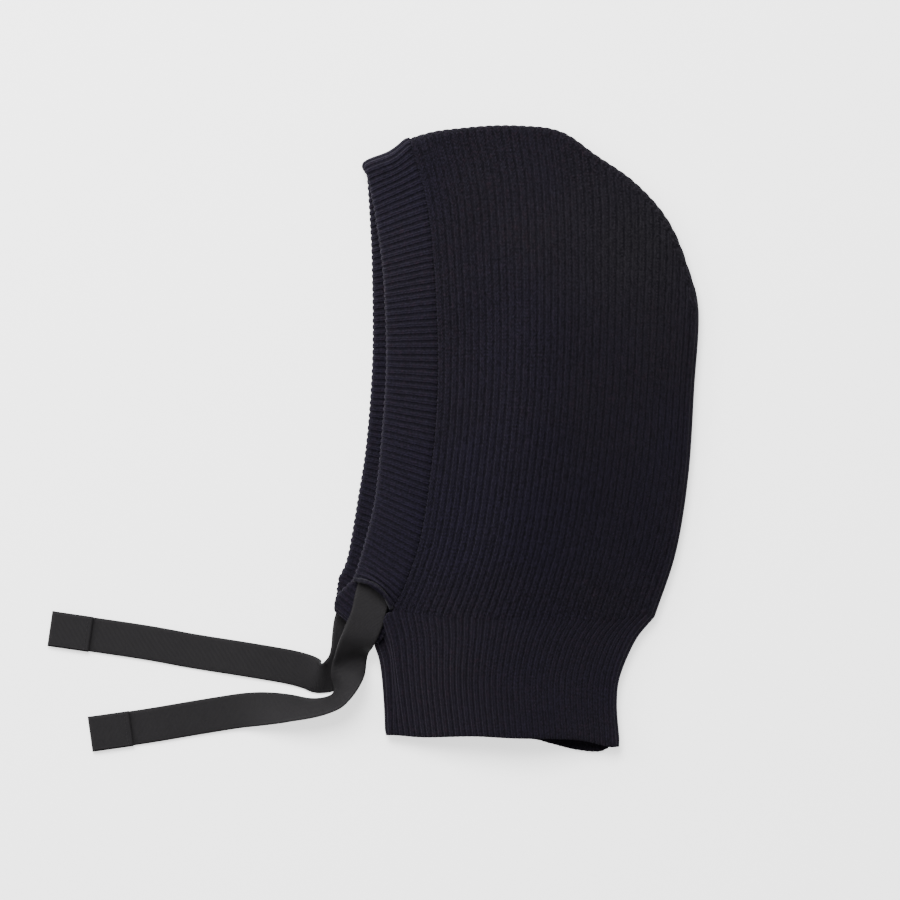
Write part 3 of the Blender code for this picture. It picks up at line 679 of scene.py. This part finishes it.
def neck_places():
    """Closed rows round the flattened neck with their knit coordinates."""
    front = along(NECK_FRONT[::-1], NECK_ROWS)
    back = along(NECK_BACK[::-1], NECK_ROWS)
    v = np.linspace(0, 1, NECK_ROWS)
    back_out = -outward(back)
    back_out[-1] = NECK_BACK_OUT
    turned = ease((v - 0.7) / 0.3)[:, None]
    front_out = unit(outward(front) * (1 - turned) + CHIN_OUT * turned)
    front_radius = FOLD_RADIUS + (CHIN_RADIUS - FOLD_RADIUS) * v ** 2
    wide = (SIDE_RIBS + NECK_FRONT_RIBS) * PER_RIB + 1
    split = NECK_FRONT_RIBS * PER_RIB
    layers = []
    for upper in (True, False):
        left = with_height(front, 2 * front_radius * upper) - front_out * front_radius[:, None]
        right = with_height(back, 2 * FOLD_RADIUS * upper) - back_out * FOLD_RADIUS
        t = np.linspace(0, 1, wide)
        swell = 2 * FOLD_RADIUS + NECK_BULGE * np.sin(math.pi * t) ** 1.5
        hem = (HEM_LEFT if upper else HEM_RIGHT).copy()
        hem[0], hem[-1] = left[0, :2], right[0, :2]
        bottom = with_height(along(hem, wide), swell * upper)
        body = side_edges(upper)[2]
        top = np.vstack([neck_front(body[0, 0], split + 1, upper)[:-1], body])
        bottom[0], bottom[-1], top[0], top[-1] = left[0], right[0], left[-1], right[-1]
        layers.append(coons(left, right, bottom, top))
    upper, lower = layers
    rows = []
    for near, far, behind, before in zip(upper, lower, back_out, front_out):
        rows.append(np.vstack([near, half_turn(near[-1], far[-1], behind), far[::-1],
                               half_turn(far[0], near[0], before), near[:1]]))
    places = np.array(rows)
    ribs = np.arange(places.shape[1]) / PER_RIB - NECK_FRONT_RIBS
    return places, np.broadcast_to(ribs, places.shape[:2])


def half_turn(start, end, out):
    """The half circle that joins two layers across a fold, ends left out."""
    turns = np.arange(1, 2 * FOLD_GRID) * math.pi / (2 * FOLD_GRID)
    middle, half = (start + end) / 2, (start - end) / 2
    return [middle + half * math.cos(t) + out * abs(half[2]) * math.sin(t) for t in turns]


def neck_front(x, count, upper):
    """The part of the neck line in front of the hood, up to the given x, evenly spaced."""
    line = neck_line()
    turn = int(np.argmin(line[:, 0]))
    run = lengths(line)
    stop = np.interp(x, line[turn:, 0], run[turn:])
    values = np.linspace(0, stop, count)
    return with_height(pick(line, run, values), neck_line_heights(values / run[-1], upper))


def neck_grid():
    """Displaced places and knit coordinates of the neck."""
    places, ribs = neck_places()
    height = np.linalg.norm(np.diff(places[:, SIDE_RIBS], axis=0), axis=1).sum()
    stitches = np.linspace(0, height / STITCH_ROW, NECK_ROWS)[:, None]
    stitches = np.broadcast_to(stitches, places.shape[:2])
    normals = surface_normals(places)
    normals[:, [0, -1]] = (normals[:, [1]] + normals[:, [-2]]) / 2
    lip = np.linspace(0, 1, NECK_ROWS)[:, None]
    push = RIB_DEPTH * rib_height(ribs) - HEM_TURN * np.exp(-(lip / 0.035) ** 2)
    push = push + loose_hand(places, SLACK)
    places = places + normals * push[..., None]
    places[:, -1] = places[:, 0]
    places[..., 2] = np.maximum(places[..., 2], 0)
    return places, ribs, stitches


neck_knit = neck_grid()
print("neck grid", neck_knit[0].shape)

# %% [markdown]
# Ribs, dips and slackness push the surface along its normals.  The sides and the neck are three
# grids whose edges fall on the same points, and welding them gives one closed piece of knitting.

# %% Build both sides as one shell
SEAM_DIP = 0.0009  # how far a seam pulls the cloth in
CROWN_DIP = 0.0008
WELD = 0.00012
RIB_FADE, CROWN_FADE = 8, 20  # grid points over which they end at the back of the crown


def fold_fade(shape, main, reach):
    """1 over the sheet, falling to 0 at the corner where crown and back folds meet."""
    rows, columns = main
    r = np.arange(shape[0])[:, None] - (rows - 1)
    c = np.arange(shape[1])[None] - (columns - 1)
    near_crown = np.where(r > 0, np.clip(-c / reach, 0, 1), 1)
    near_back = np.where(c > 0, np.clip(-r / reach, 0, 1), 1)
    return near_crown * near_back


def hood_side(upper):
    """Displaced places and knit coordinates of one side."""
    places, ribs, stitches, main = side_places(upper)
    rows, columns = main
    normals = surface_normals(places) * (1 if upper else -1)
    v = np.arange(len(places))[:, None] / (rows - 1)
    depth = RIB_DEPTH * (1 - 0.25 * ease((v - 0.85) / 0.15))
    push = depth * rib_height(ribs) * fold_fade(places.shape[:2], main, RIB_FADE)
    push -= SEAM_DIP * np.exp(-(ribs / 0.5) ** 2) * ease(v / 0.06)
    crown = np.clip((np.arange(len(places)) - (rows - 1)) / FOLD_GRID, 0, 1)[:, None]
    push -= CROWN_DIP * ease((crown - 0.55) / 0.45) * fold_fade(places.shape[:2], main, CROWN_FADE)
    edge = np.minimum(ribs, SIDE_RIBS - np.minimum(ribs, SIDE_RIBS))
    push += loose_hand(places, SLACK) * np.minimum(1, edge / 2)
    places = places + normals * push[..., None]
    seen = neck_knit[0][-1]
    near = seen[NECK_FRONT_RIBS * PER_RIB:][:columns + FOLD_GRID]
    wide = (SIDE_RIBS + NECK_FRONT_RIBS) * PER_RIB + 1
    far = seen[wide + FOLD_GRID - 1:][:columns + FOLD_GRID][::-1]
    places[0] = near if upper else far
    places[..., 2] = np.maximum(places[..., 2], 0)
    for rim in ((slice(-1, None), slice(0, columns)), (slice(0, rows), slice(-1, None))):
        places[rim][..., 2] = seam_height(places[rim])
    return places, ribs, stitches, main


def seam_height(points):
    """Height of the mid-plane where the two sides meet."""
    front = 1 - ease((points[..., 0] - CROWN_START[0] * MM) / FOREHEAD_SPAN)
    return FOLD_RADIUS + (FOREHEAD_RADIUS - FOLD_RADIUS) * front


def hood_mesh():
    """The two sides and the neck as grids, joined where they meet."""
    whole = bmesh.new()
    part = grid_mesh("neck", *neck_knit)
    part.polygons.foreach_set("material_index", [1] * len(part.polygons))
    whole.from_mesh(part)
    bpy.data.meshes.remove(part)
    for upper in (True, False):
        places, ribs, stitches, (rows, columns) = hood_side(upper)
        part = grid_mesh("side", places, ribs, stitches, corner=(rows - 1, columns - 1))
        if not upper:
            part.flip_normals()
        whole.from_mesh(part)
        bpy.data.meshes.remove(part)
    bmesh.ops.remove_doubles(whole, verts=whole.verts, dist=WELD)
    return finished_mesh("hood", whole)


hood = add_sheet("hood", hood_mesh(), KNIT, HOOD_WOOL)
hood.data.materials.append(NECK_WOOL)
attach(hood, "hood")
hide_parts("hood_side_left", "hood_side_right", "neck_rib")
print("hood has", len(hood.data.polygons), "faces")

# %% [markdown]
# ## The face band
# The band is a strip folded lengthwise round the tape, and its ribs run across it.  Every station
# along the face gets one U-shaped section, from the seam round the face edge and back.  At the
# tunnel mouth the outer layer gapes in an arch, and over the brow the strip sinks a little.

# %% Band surface
BAND_PITCH = 0.0039
BAND_PER_RIB = 7
BAND_COLUMNS = 26  # grid columns over one layer
BAND_DEPTH = 0.0007
SEAM_LAP = 0.03  # share of its width that the band runs in under the hood's edge
PUFF = 0.0011  # how far the band's layers belly out over the tape
MOUTH_BOW = 0.0054  # how far the mouth's edge is drawn back
MOUTH_LIFT = 0.0044  # how far the mouth of the tunnel gapes over the tape
MOUTH_FADE = 0.022
BROW_DIP, BROW_SPAN = 0.0030, 0.035
BROW_INWARD = unit(np.array((0.35, -0.94, 0)))
HALF_TURN = np.linspace(0, math.pi, 25)[1:-1]


def half_ring(out, angles):
    """Directions that turn from straight up, over the given outward direction, to straight down."""
    return np.array([np.array((0, 0, math.cos(t))) + out * math.sin(t) for t in angles])


def band_route(count):
    """Face edge, joined edge and outward normal along the band, chin to chin."""
    outline = mm(FOREHEAD_CORNER, (-75, 166.3), CROWN_START)
    edge_out = outward(along(outline, 5))[1]
    join_out = outward(crown_edge(SIDE_RIBS * PER_RIB + 1))[0]
    edge_top = outline[0] - edge_out[:2] * FOREHEAD_RADIUS
    join_top = outline[-1] - join_out[:2] * FOREHEAD_RADIUS
    runs = []
    for edge, join, upper in ((EDGE_LEFT, JOIN_LEFT, True), (EDGE_RIGHT, JOIN_RIGHT, False)):
        heights = band_heights(count) if upper else 0
        runs.append((with_height(along(np.vstack([edge, edge_top]), count), heights),
                     with_height(along(np.vstack([join, join_top]), count), heights)))
    turns = [np.array((*top, FOREHEAD_RADIUS)) + half_ring(out, HALF_TURN) * FOREHEAD_RADIUS
             for top, out in ((edge_top, edge_out), (join_top, join_out))]
    a = np.vstack([runs[0][0], turns[0], runs[1][0][::-1]])
    b = np.vstack([runs[0][1], turns[1], runs[1][1][::-1]])
    up = np.tile((0, 0, 1.0), (count, 1))
    normals = unit(np.vstack([up, half_ring(unit(edge_out + join_out), HALF_TURN), -up]))
    return a, b, normals


EDGE_LEFT = mm((-92.8, -80.8), (-88, -66), (-80.7, -36.5), (-76.6, 0), (-73.8, 45), (-75.5, 93),
               (-80.5, 130))
EDGE_RIGHT = mm((-101.5, -80.5), (-96.3, -67.6), (-90.3, -33.6), (-85.3, 0), (-82, 48),
                (-82.3, 100), (-83.8, 132))


def resample(route, count):
    """The route's rows spread evenly along its middle."""
    a, b, normals = route
    run = lengths((a + b) / 2)
    values = np.linspace(0, run[-1], count)
    return (pick(a, run, values), pick(b, run, values), unit(pick(normals, run, values))), run[-1]


def strip_places(route, thickness):
    """A U-shaped section at every station: outside layer, face edge, inside layer."""
    a, b, normals = route
    across = b - a
    width = np.linalg.norm(across, axis=1)
    across = across / width[:, None]
    radius = thickness / 2
    flat = np.linspace(1 + SEAM_LAP, 0, BAND_COLUMNS)
    spots, depths = [], []
    for t in flat:
        spots.append(radius + (width - radius) * t)
        depths.append(np.zeros(len(a)))
    for turn in np.linspace(0, math.pi, 13)[1:-1]:
        spots.append(radius - radius * math.sin(turn) * np.ones(len(a)))
        depths.append(radius * (1 - math.cos(turn)) * np.ones(len(a)))
    for t in flat[::-1]:
        spots.append(radius + (width - radius) * t)
        depths.append(thickness * np.ones(len(a)))
    spots, depths = np.array(spots).T[..., None], np.array(depths).T[..., None]
    return a[:, None] + across[:, None] * spots - normals[:, None] * depths


def bow_mouth(places, outside, run):
    """Draws the outer layer back in an arc at the first mouth, where the tie comes out."""
    travel = unit(np.gradient(places, axis=0))
    fade = np.clip(1 - run / MOUTH_FADE, 0, 1) ** 2
    arch = np.sin(math.pi * outside) ** 0.8 * fade
    up = np.array((0, 0, MOUTH_LIFT))
    return places + (travel * MOUTH_BOW + up) * arch[..., None]


def sink_brow(places, share):
    """Sinks the strip where it turns over the brow, most in the middle of its width."""
    near = np.exp(-((share - 0.5) / BROW_SPAN) ** 2)
    across = np.linalg.norm(places - places[:, :1], axis=2)
    across = across / across.max(axis=1, keepdims=True)
    depth = BROW_DIP * near * np.sin(math.pi * across ** 0.8) ** 2
    return places + BROW_INWARD * depth[..., None]


def strip_mesh(name, route, thickness, puff=0.0, mouth=False):
    """The doubled strip with its ribs across it."""
    ribs_along = lengths((route[0] + route[1]) / 2)[-1] / BAND_PITCH
    rows = int(ribs_along * BAND_PER_RIB)
    route, run = resample(route, rows)
    places = strip_places(route, thickness)
    ribs = np.broadcast_to(np.linspace(0, ribs_along, rows)[:, None], places.shape[:2])
    steps = np.linalg.norm(np.diff(places[rows // 2], axis=0), axis=1)
    stitches = np.concatenate([[0], np.cumsum(steps)]) / STITCH_ROW
    stitches = np.broadcast_to(stitches, places.shape[:2])
    normals = surface_normals(places)
    facing = np.sign((normals[:, BAND_COLUMNS // 2] * route[2]).sum())
    normals *= facing
    outside = np.zeros(places.shape[1])
    outside[:BAND_COLUMNS] = np.linspace(1, 0, BAND_COLUMNS)
    seam = np.exp(-((1 - outside) / 0.06) ** 2) * (outside > 0)
    belly = puff * np.sin(math.pi * outside) ** 0.7
    push = BAND_DEPTH * rib_height(ribs) + belly - SEAM_DIP * seam
    places = places + normals * push[..., None]
    places[..., 2] = np.maximum(places[..., 2], 0)
    if mouth:
        places = bow_mouth(places, outside[None], np.linspace(0, run, rows)[:, None])
        places = sink_brow(places, np.linspace(0, 1, rows)[:, None])
    mesh = grid_mesh(name, places, ribs, stitches)
    if facing < 0:
        mesh.flip_normals()
    return mesh, ribs_along


band_surface, band_ribs = strip_mesh("band", band_route(120), BAND, PUFF, mouth=True)
band = add_sheet("band", band_surface, BAND_LAYER, BAND_WOOL)
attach(band, "hood")
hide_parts("face_band")
print("band has", round(band_ribs), "ribs and", len(band.data.polygons), "faces")

# %% [markdown]
# Below the chin the same strip goes on without the tape, from one mouth round the front fold to
# the other.  Its corner is rounded, because a doubled strip can't turn sharply.

# %% The chin piece
CHIN = 0.0048  # thickness of the doubled strip without the tape
CHIN_STATIONS = 12  # along each side
CHIN_TURN = np.linspace(0, math.pi, 17)[1:-1]
CHIN_ROUND, CHIN_ROUND_SPAN = 0.12, 0.16
MOUTH_LEFT = mm((-92.8, -80.8), (-70.4, -98.4))
MOUTH_RIGHT = mm((-101.5, -80.5), (-70.4, -98.4))
CHIN_FRONT = mm((-108.0, -95.8), (-80.9, -119.3))


def chin_route():
    """Stations from the left mouth round the chin's front fold to the right mouth."""
    front = along(CHIN_FRONT, 3)
    out = -outward(front)[1]
    turn = with_height(front[[0, -1]] - out[:2] * CHIN_RADIUS, CHIN_LOW + CHIN_RADIUS)
    sides = []
    for mouth, height in ((MOUTH_LEFT, CHIN_TOP), (MOUTH_RIGHT, CHIN_LOW)):
        start, end = with_height(mouth, height), with_height(turn, height)
        sides.append([start + (end - start) * t for t in np.linspace(-0.12, 1, CHIN_STATIONS)])
    rays = half_ring(out, CHIN_TURN)
    ring = [turn + ray * CHIN_RADIUS for ray in rays]
    stations = np.array(sides[0] + ring + sides[1][::-1])
    from_middle = np.linspace(0, 1, len(stations)) - 0.5
    round_off = CHIN_ROUND * np.exp(-(from_middle / CHIN_ROUND_SPAN) ** 2)[:, None]
    stations[:, 0] += (stations[:, 1] - stations[:, 0]) * round_off
    up = np.tile((0, 0, 1.0), (CHIN_STATIONS, 1))
    return stations[:, 0], stations[:, 1], np.vstack([up, rays, -up])


chin_surface, chin_ribs = strip_mesh("chin", chin_route(), CHIN)
chin = add_sheet("chin", chin_surface, BAND_LAYER, BAND_WOOL)
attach(chin, "hood")
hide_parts("chin_band")
print("chin has", round(chin_ribs), "ribs")

# %% [markdown]
# ## The ties
# The drawstring is a firm woven tape, which can bend sideways only by tipping towards its edge.  So
# each tie has a roll as well as a route.  Its tip is folded back on itself and sewn across, which
# keeps it from fraying and from slipping into the tunnel.

# %% Tape finish
CORD_PITCH, THREAD_PITCH = 0.72, 0.55  # millimetres
SELVEDGE = 9.3  # millimetres from the middle of the tape to its woven edge
FIBRE_GRAIN = 3200


def tape_group():
    """Height and shade of a fine ribbed tape, from a UV map in millimetres."""
    group, given, result = new_group("woven tape", [("Fine", 1.0)], ["Height", "Shade"])
    across, run = coordinates(group, "weave")
    cords = wave(group, calc(group, "DIVIDE", run, CORD_PITCH))
    slanted = calc(group, "MULTIPLY_ADD", run, 0.35, across)
    threads = wave(group, calc(group, "DIVIDE", slanted, THREAD_PITCH))
    edge = calc(group, "SUBTRACT", calc(group, "ABSOLUTE", across), SELVEDGE)
    # the selvedge is a raised edge, and the same hump paints a highlight along it
    edge_ridge_and_highlight = hump(group, edge, 0.0, 0.45)
    fibres = noise(group, FIBRE_GRAIN)
    body = calc(group, "MULTIPLY_ADD", threads, 0.5, cords)
    body = calc(group, "MULTIPLY", body, given.outputs["Fine"])
    plug(group, result.inputs["Height"], calc(group, "MULTIPLY_ADD", edge_ridge_and_highlight, 1.2,
                                              calc(group, "ADD", body, fibres)))
    # painted shade between the cords and threads and a painted highlight on each raised selvedge,
    # over random fibre specks
    shade = calc(group, "MULTIPLY_ADD", body, 0.14, calc(group, "MULTIPLY", fibres, 0.75))
    plug(group, result.inputs["Shade"], calc(group, "MULTIPLY_ADD", edge_ridge_and_highlight, 0.30, shade))
    return group


WEAVING = tape_group()


def tape(name, dark, light):
    """The finish of a woven tape between two tones."""
    made, tree, shader = new_material(name, 0.62)
    weave = tree.nodes.new("ShaderNodeGroup")
    weave.node_tree = WEAVING
    # painted light and shade of the weave set how far each spot goes from the dark colour to the
    # light one
    painted_light_and_fibre = calc(tree, "MINIMUM", weave.outputs["Shade"], 1.0)
    plug(tree, shader.inputs["Base Color"], blend_colours(tree, painted_light_and_fibre, dark, light))
    shader.inputs["Specular IOR Level"].default_value = 0.10
    add_bump(tree, shader, weave.outputs["Height"], 0.00012)
    return made


TAPE_CLOTH = tape("tape cloth", (0.0040, 0.0037, 0.0042), (0.0150, 0.0140, 0.0152))


def plain(name, colour, rough, grain, depth):
    """A quiet yarn finish with a fine grain."""
    made, tree, shader = new_material(name, rough)
    fibres = noise(tree, grain, 3.0)
    dark = tuple(c * 0.45 for c in colour)
    plug(tree, shader.inputs["Base Color"], blend_colours(tree, fibres, dark, colour))
    shader.inputs["Specular IOR Level"].default_value = 0.06
    shader.inputs["Sheen Weight"].default_value = 0.05
    add_bump(tree, shader, fibres, depth)
    return made


YARN = plain("linking yarn", (0.0095, 0.0083, 0.0132), 0.9, 1500, 0.0006)
THREAD = plain("thread", (0.016, 0.015, 0.0165), 0.5, 3000, 0.0001)

# %% [markdown]
# A route is a smooth curve through points with a height and a roll each.  The left tie drops
# steeply off the hood, turns with its outer edge up and settles flat; the right tie comes out
# under it.  They are placed point by point, as a cloth solver would let them fall another way.

# %% Tie routes
TAPE_WIDTH = 0.020
TAPE = 0.0009  # its thickness
TAPE_DEPTH = BAND / 2
TAIL = 0.024  # the length of a tie that lies inside its mouth
TAPE_STEP = 0.0016
LEFT_PULL = np.array((-0.29997, -0.95395, 0))
RIGHT_PULL = np.array((-0.19996, -0.97980, 0))
LEFT_MOUTH = np.array((-0.0816, -0.0900, MOUTH_TOP - TAPE_DEPTH))
RIGHT_MOUTH = np.array((-0.0853, -0.0888, TAPE_DEPTH))
# x, y and height in millimetres, then the roll in degrees: plus lifts the outer edge of the bend
LEFT_ROUTE = ((-83.2, -97.6, 20.4, 0), (-85.2, -104.6, 21.1, -4), (-87.9, -111, 21.4, -8),
              (-90.3, -116.4, 19.9, -18), (-92.7, -121.4, 16.2, -26), (-94.4, -126.8, 12.0, -24),
              (-95.6, -132.5, 11.0, -4), (-96.9, -139.5, 12.8, 30), (-99.2, -146.3, 12.9, 55),
              (-103.2, -151.5, 12.0, 65),
              (-111, -154.6, 11.0, 64), (-120.8, -155.9, 9.8, 56), (-131.1, -155.9, 7.4, 40),
              (-141.4, -156.1, 5.1, 25), (-151, -156.7, 3.1, 12), (-162, -158.0, 1.6, 4),
              (-186, -161.9, 1.2, 0), (-206, -165.3, 1.4, 0), (-222, -167.8, 0.8, 0),
              (-244.5, -171, 0.8, 0))
RIGHT_ROUTE = ((-90.0, -97, 3.1, 0), (-93.8, -104.5, 2.8, -4), (-95.6, -113, 4.0, -18),
               (-96.8, -122, 5.3, -26), (-99.2, -130, 5.6, -26), (-104.9, -136.6, 5.2, -26),
               (-112, -138.4, 5.3, -29),
               (-119.0, -135.2, 2.0, -7), (-131, -132, 1.2, -2), (-156.6, -127.6, 1.4, 0),
               (-185.8, -123, 0.8, 0), (-215.2, -117.7, 1.2, 0), (-267.8, -110, 0.8, 0))


def ribbon_places(route, roll, half_width, columns=11, level=None):
    """Rows across a ribbon along its route, each turned by its roll."""
    tangents = unit(np.gradient(route, axis=0))
    if level is None:
        level = unit(np.column_stack([-tangents[:, 1], tangents[:, 0], np.zeros(len(route))]))
    else:
        level = np.broadcast_to(level, route.shape)
    lift = np.cross(tangents, level)
    side = level * np.cos(roll)[:, None] + lift * np.sin(roll)[:, None]
    across = np.linspace(-1, 1, columns)
    return route[:, None] + side[:, None] * (across * half_width)[None, :, None]


def tape_mesh(name, route, roll, half_width, level=None):
    """A ribbon grid with its weave coordinates in millimetres."""
    places = ribbon_places(route, roll, half_width, level=level)
    run = lengths(route)[:, None] / MM
    across = np.linspace(-half_width, half_width, places.shape[1])[None] / MM
    shape = places.shape[:2]
    mesh = grid_mesh(name, places, np.broadcast_to(across, shape), np.broadcast_to(run, shape))
    mesh.uv_layers["knit"].name = "weave"
    return mesh


# %% [markdown]
# At its tip the tape turns up and back round a tight bend, and a row of short stitches holds the
# flap.  The flap is a hair wider than the tape, so that their edges don't fall into one plane.

# %% Tie ends
FLAP = 0.023
FLAP_HALF_WIDTH = 0.0103
END_BEND = 0.00075
END_START = 0.0004
STITCHES = np.arange(-0.0088, 0.0089, 0.0022)
STITCH_SIZE = (0.00085, 0.00026, 0.00022)
STITCH_HEIGHT, STITCH_FROM_EDGE = 0.0020, 0.0028
UP = np.array((0, 0, 1.0))


def add_end(name, tip, back):
    """The end of the tape turned over and back: a tight round bend and a flat flap."""
    rounds = np.linspace(-math.pi / 2, math.pi / 2, 9)
    bend = [tip - back * END_BEND * math.cos(t) + UP * END_BEND * (1 + math.sin(t)) for t in rounds]
    start = tip + back * END_START
    flap = [bend[-1] + back * d for d in np.linspace(0, FLAP, 18)[1:]]
    route = np.array([start, *bend, *flap])
    across = unit(np.cross(UP, back))
    mesh = tape_mesh(name + "_end_fold", route, np.zeros(len(route)), FLAP_HALF_WIDTH, across)
    end = add_sheet(name + "_end_fold_cloth", mesh, TAPE, TAPE_CLOTH, offset=0)
    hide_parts(name + "_end_fold")
    return end


def add_stitches(name, tip, back):
    """A row of short stitches across the turned-back end."""
    across = unit(np.cross(back, UP))
    turn = Matrix.Rotation(math.atan2(across[1], across[0]), 4, "Z")
    row = tip + back * (FLAP - STITCH_FROM_EDGE) + UP * STITCH_HEIGHT
    work = bmesh.new()
    for place in STITCHES:
        where = Matrix.Translation(row + across * place)
        shape = where @ turn @ Matrix.Diagonal((*STITCH_SIZE, 1))
        bmesh.ops.create_uvsphere(work, u_segments=10, v_segments=6, radius=1, matrix=shape)
    mesh = finished_mesh(name + "_stitches", work)
    mesh.materials.append(THREAD)
    stitches = link(bpy.data.objects.new(name + "_stitches", mesh))
    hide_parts(name + "_end_stitching")
    return stitches


# %% [markdown]
# Each tie is one ribbon from inside its mouth to its tip.  Its root slides in the mouth and its
# loose part swings; its turned-back end and stitching go with the swinging body.

# %% Place the ties

def add_tie(side, mouth, pull, points):
    """One tie with its turned-back end and stitching."""
    name = "tie_" + side
    ribbon = name + "_ribbon"
    tail = [(*(mouth - pull * d), 0) for d in (TAIL, TAIL / 2, 0)]
    points = [(x * MM, y * MM, z * MM, math.radians(roll)) for x, y, z, roll in points]
    curve = dense_curve(np.array([*tail, *points]), steps=30)
    run = lengths(curve[:, :3])
    count = int(run[-1] / TAPE_STEP)
    curve = pick(curve, run, np.linspace(0, run[-1], count))
    route, roll = curve[:, :3], curve[:, 3]
    mesh = tape_mesh(ribbon, route, roll, TAPE_WIDTH / 2)
    solid = add_sheet(ribbon, mesh, TAPE, TAPE_CLOTH, offset=0)
    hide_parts(name + "_root", name)
    tip, back = route[-1], unit(route[-6] - route[-1])
    pieces = [add_end(name, tip, back), add_stitches(name, tip, back)]
    for piece in pieces:
        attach(piece, side + "_tie")
    return solid, route, pieces


left_tie, left_route, left_pieces = add_tie("left", LEFT_MOUTH, LEFT_PULL, LEFT_ROUTE)
right_tie, right_route, right_pieces = add_tie("right", RIGHT_MOUTH, RIGHT_PULL, RIGHT_ROUTE)
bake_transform(left_tie)
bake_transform(right_tie)

# %% [markdown]
# ## Bound edges and chains
# A plump row of loops binds the band's outer layer at each tunnel mouth: a circle that is extruded
# step by step along the arch of the mouth.

# %% Mouth rims
RIM_RADIUS, RIM_SIDES = 0.0013, 10
LOOP_COUNT, LOOP_HEIGHT = 9, 0.00022


def tube_along(name, route, radius, finish):
    """A round yarn along a route, from a circle pushed along in steps."""
    work = bmesh.new()
    ring = bmesh.ops.create_circle(work, segments=RIM_SIDES, radius=radius)["verts"]
    edges = list({edge for vert in ring for edge in vert.link_edges})
    tangents = unit(np.gradient(route, axis=0))
    frames = []
    for place, tangent in zip(route, tangents):
        turn = Vector(tangent).to_track_quat("Z", "X").to_matrix().to_4x4()
        frames.append(Matrix.Translation(place) @ turn)
    bmesh.ops.transform(work, verts=ring, matrix=frames[0])
    for before, after in zip(frames, frames[1:]):
        made = bmesh.ops.extrude_edge_only(work, edges=edges)["geom"]
        fresh = [g for g in made if isinstance(g, bmesh.types.BMVert)]
        edges = [g for g in made if isinstance(g, bmesh.types.BMEdge)]
        bmesh.ops.transform(work, verts=fresh, matrix=after @ before.inverted())
    bmesh.ops.holes_fill(work, edges=work.edges)
    bmesh.ops.recalc_face_normals(work, faces=work.faces)
    for face in work.faces:
        face.smooth = True
    mesh = finished_mesh(name, work)
    mesh.materials.append(finish)
    return link(bpy.data.objects.new(name, mesh))


def mouth_rim(name, ends, height, gape):
    """The bound edge of a mouth: a bowed cord of loops from the face edge to the neck."""
    t = np.linspace(0.02, 0.97, 60)
    a, b = with_height(ends[:1], height)[0], with_height(ends[1:], height)[0]
    out = unit(np.cross(UP, b - a))
    arch = np.sin(math.pi * t)[:, None]
    loops = LOOP_HEIGHT * np.sin(t * 2 * math.pi * LOOP_COUNT)[:, None]
    route = a + (b - a) * t[:, None] + out * MOUTH_BOW * arch + UP * (gape * arch + loops)
    rim = tube_along(name + "_loops", route, RIM_RADIUS, YARN)
    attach(rim, "hood")
    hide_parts(name)
    return rim


mouth_rim("mouth_rim_left", MOUTH_LEFT, MOUTH_TOP - 0.0002, MOUTH_LIFT)
mouth_rim("mouth_rim_right", MOUTH_RIGHT, 0.0012, 0)

# %% [markdown]
# The linking chains and the tape in its tunnel lie inside, so their plain solids only get a finish.

# %% Carried-over pieces
TUNNEL_TAPE = plain("tunnel tape", (0.0150, 0.0140, 0.0152), 0.62, FIBRE_GRAIN, 0.0001)
for node, finish in (("tape_in_tunnel", TUNNEL_TAPE), ("crown_seam", YARN),
                     ("band_seam_left", YARN), ("band_seam_right", YARN)):
    kept = bpy.data.objects[node].data.materials
    kept.clear()
    kept.append(finish)
print("finished the pieces inside")

# %% [markdown]
# ## What each cloth is cut from
# The hood and its neck are one piece, about as wide as twice the side plus the fold, and as high
# as from the hem to the crown.  The band is as long as its ribs times their spacing, and as wide
# as its two layers plus the round of its edge.

# %% Flat sizes
HOOD_FLAT = (0.330, 0.355)
BAND_FLAT = (band_ribs * BAND_PITCH, 0.062)
CHIN_FLAT = (chin_ribs * BAND_PITCH, 0.066)
for piece, flat in ((hood, HOOD_FLAT), (band, BAND_FLAT), (chin, CHIN_FLAT)):
    cloth = sum(face.area for face in piece.data.polygons)
    print(piece.name, "flat", [round(side * 1000) for side in flat], "mm; cloth",
          round(cloth * 1e4), "of", round(flat[0] * flat[1] * 1e4), "square cm")
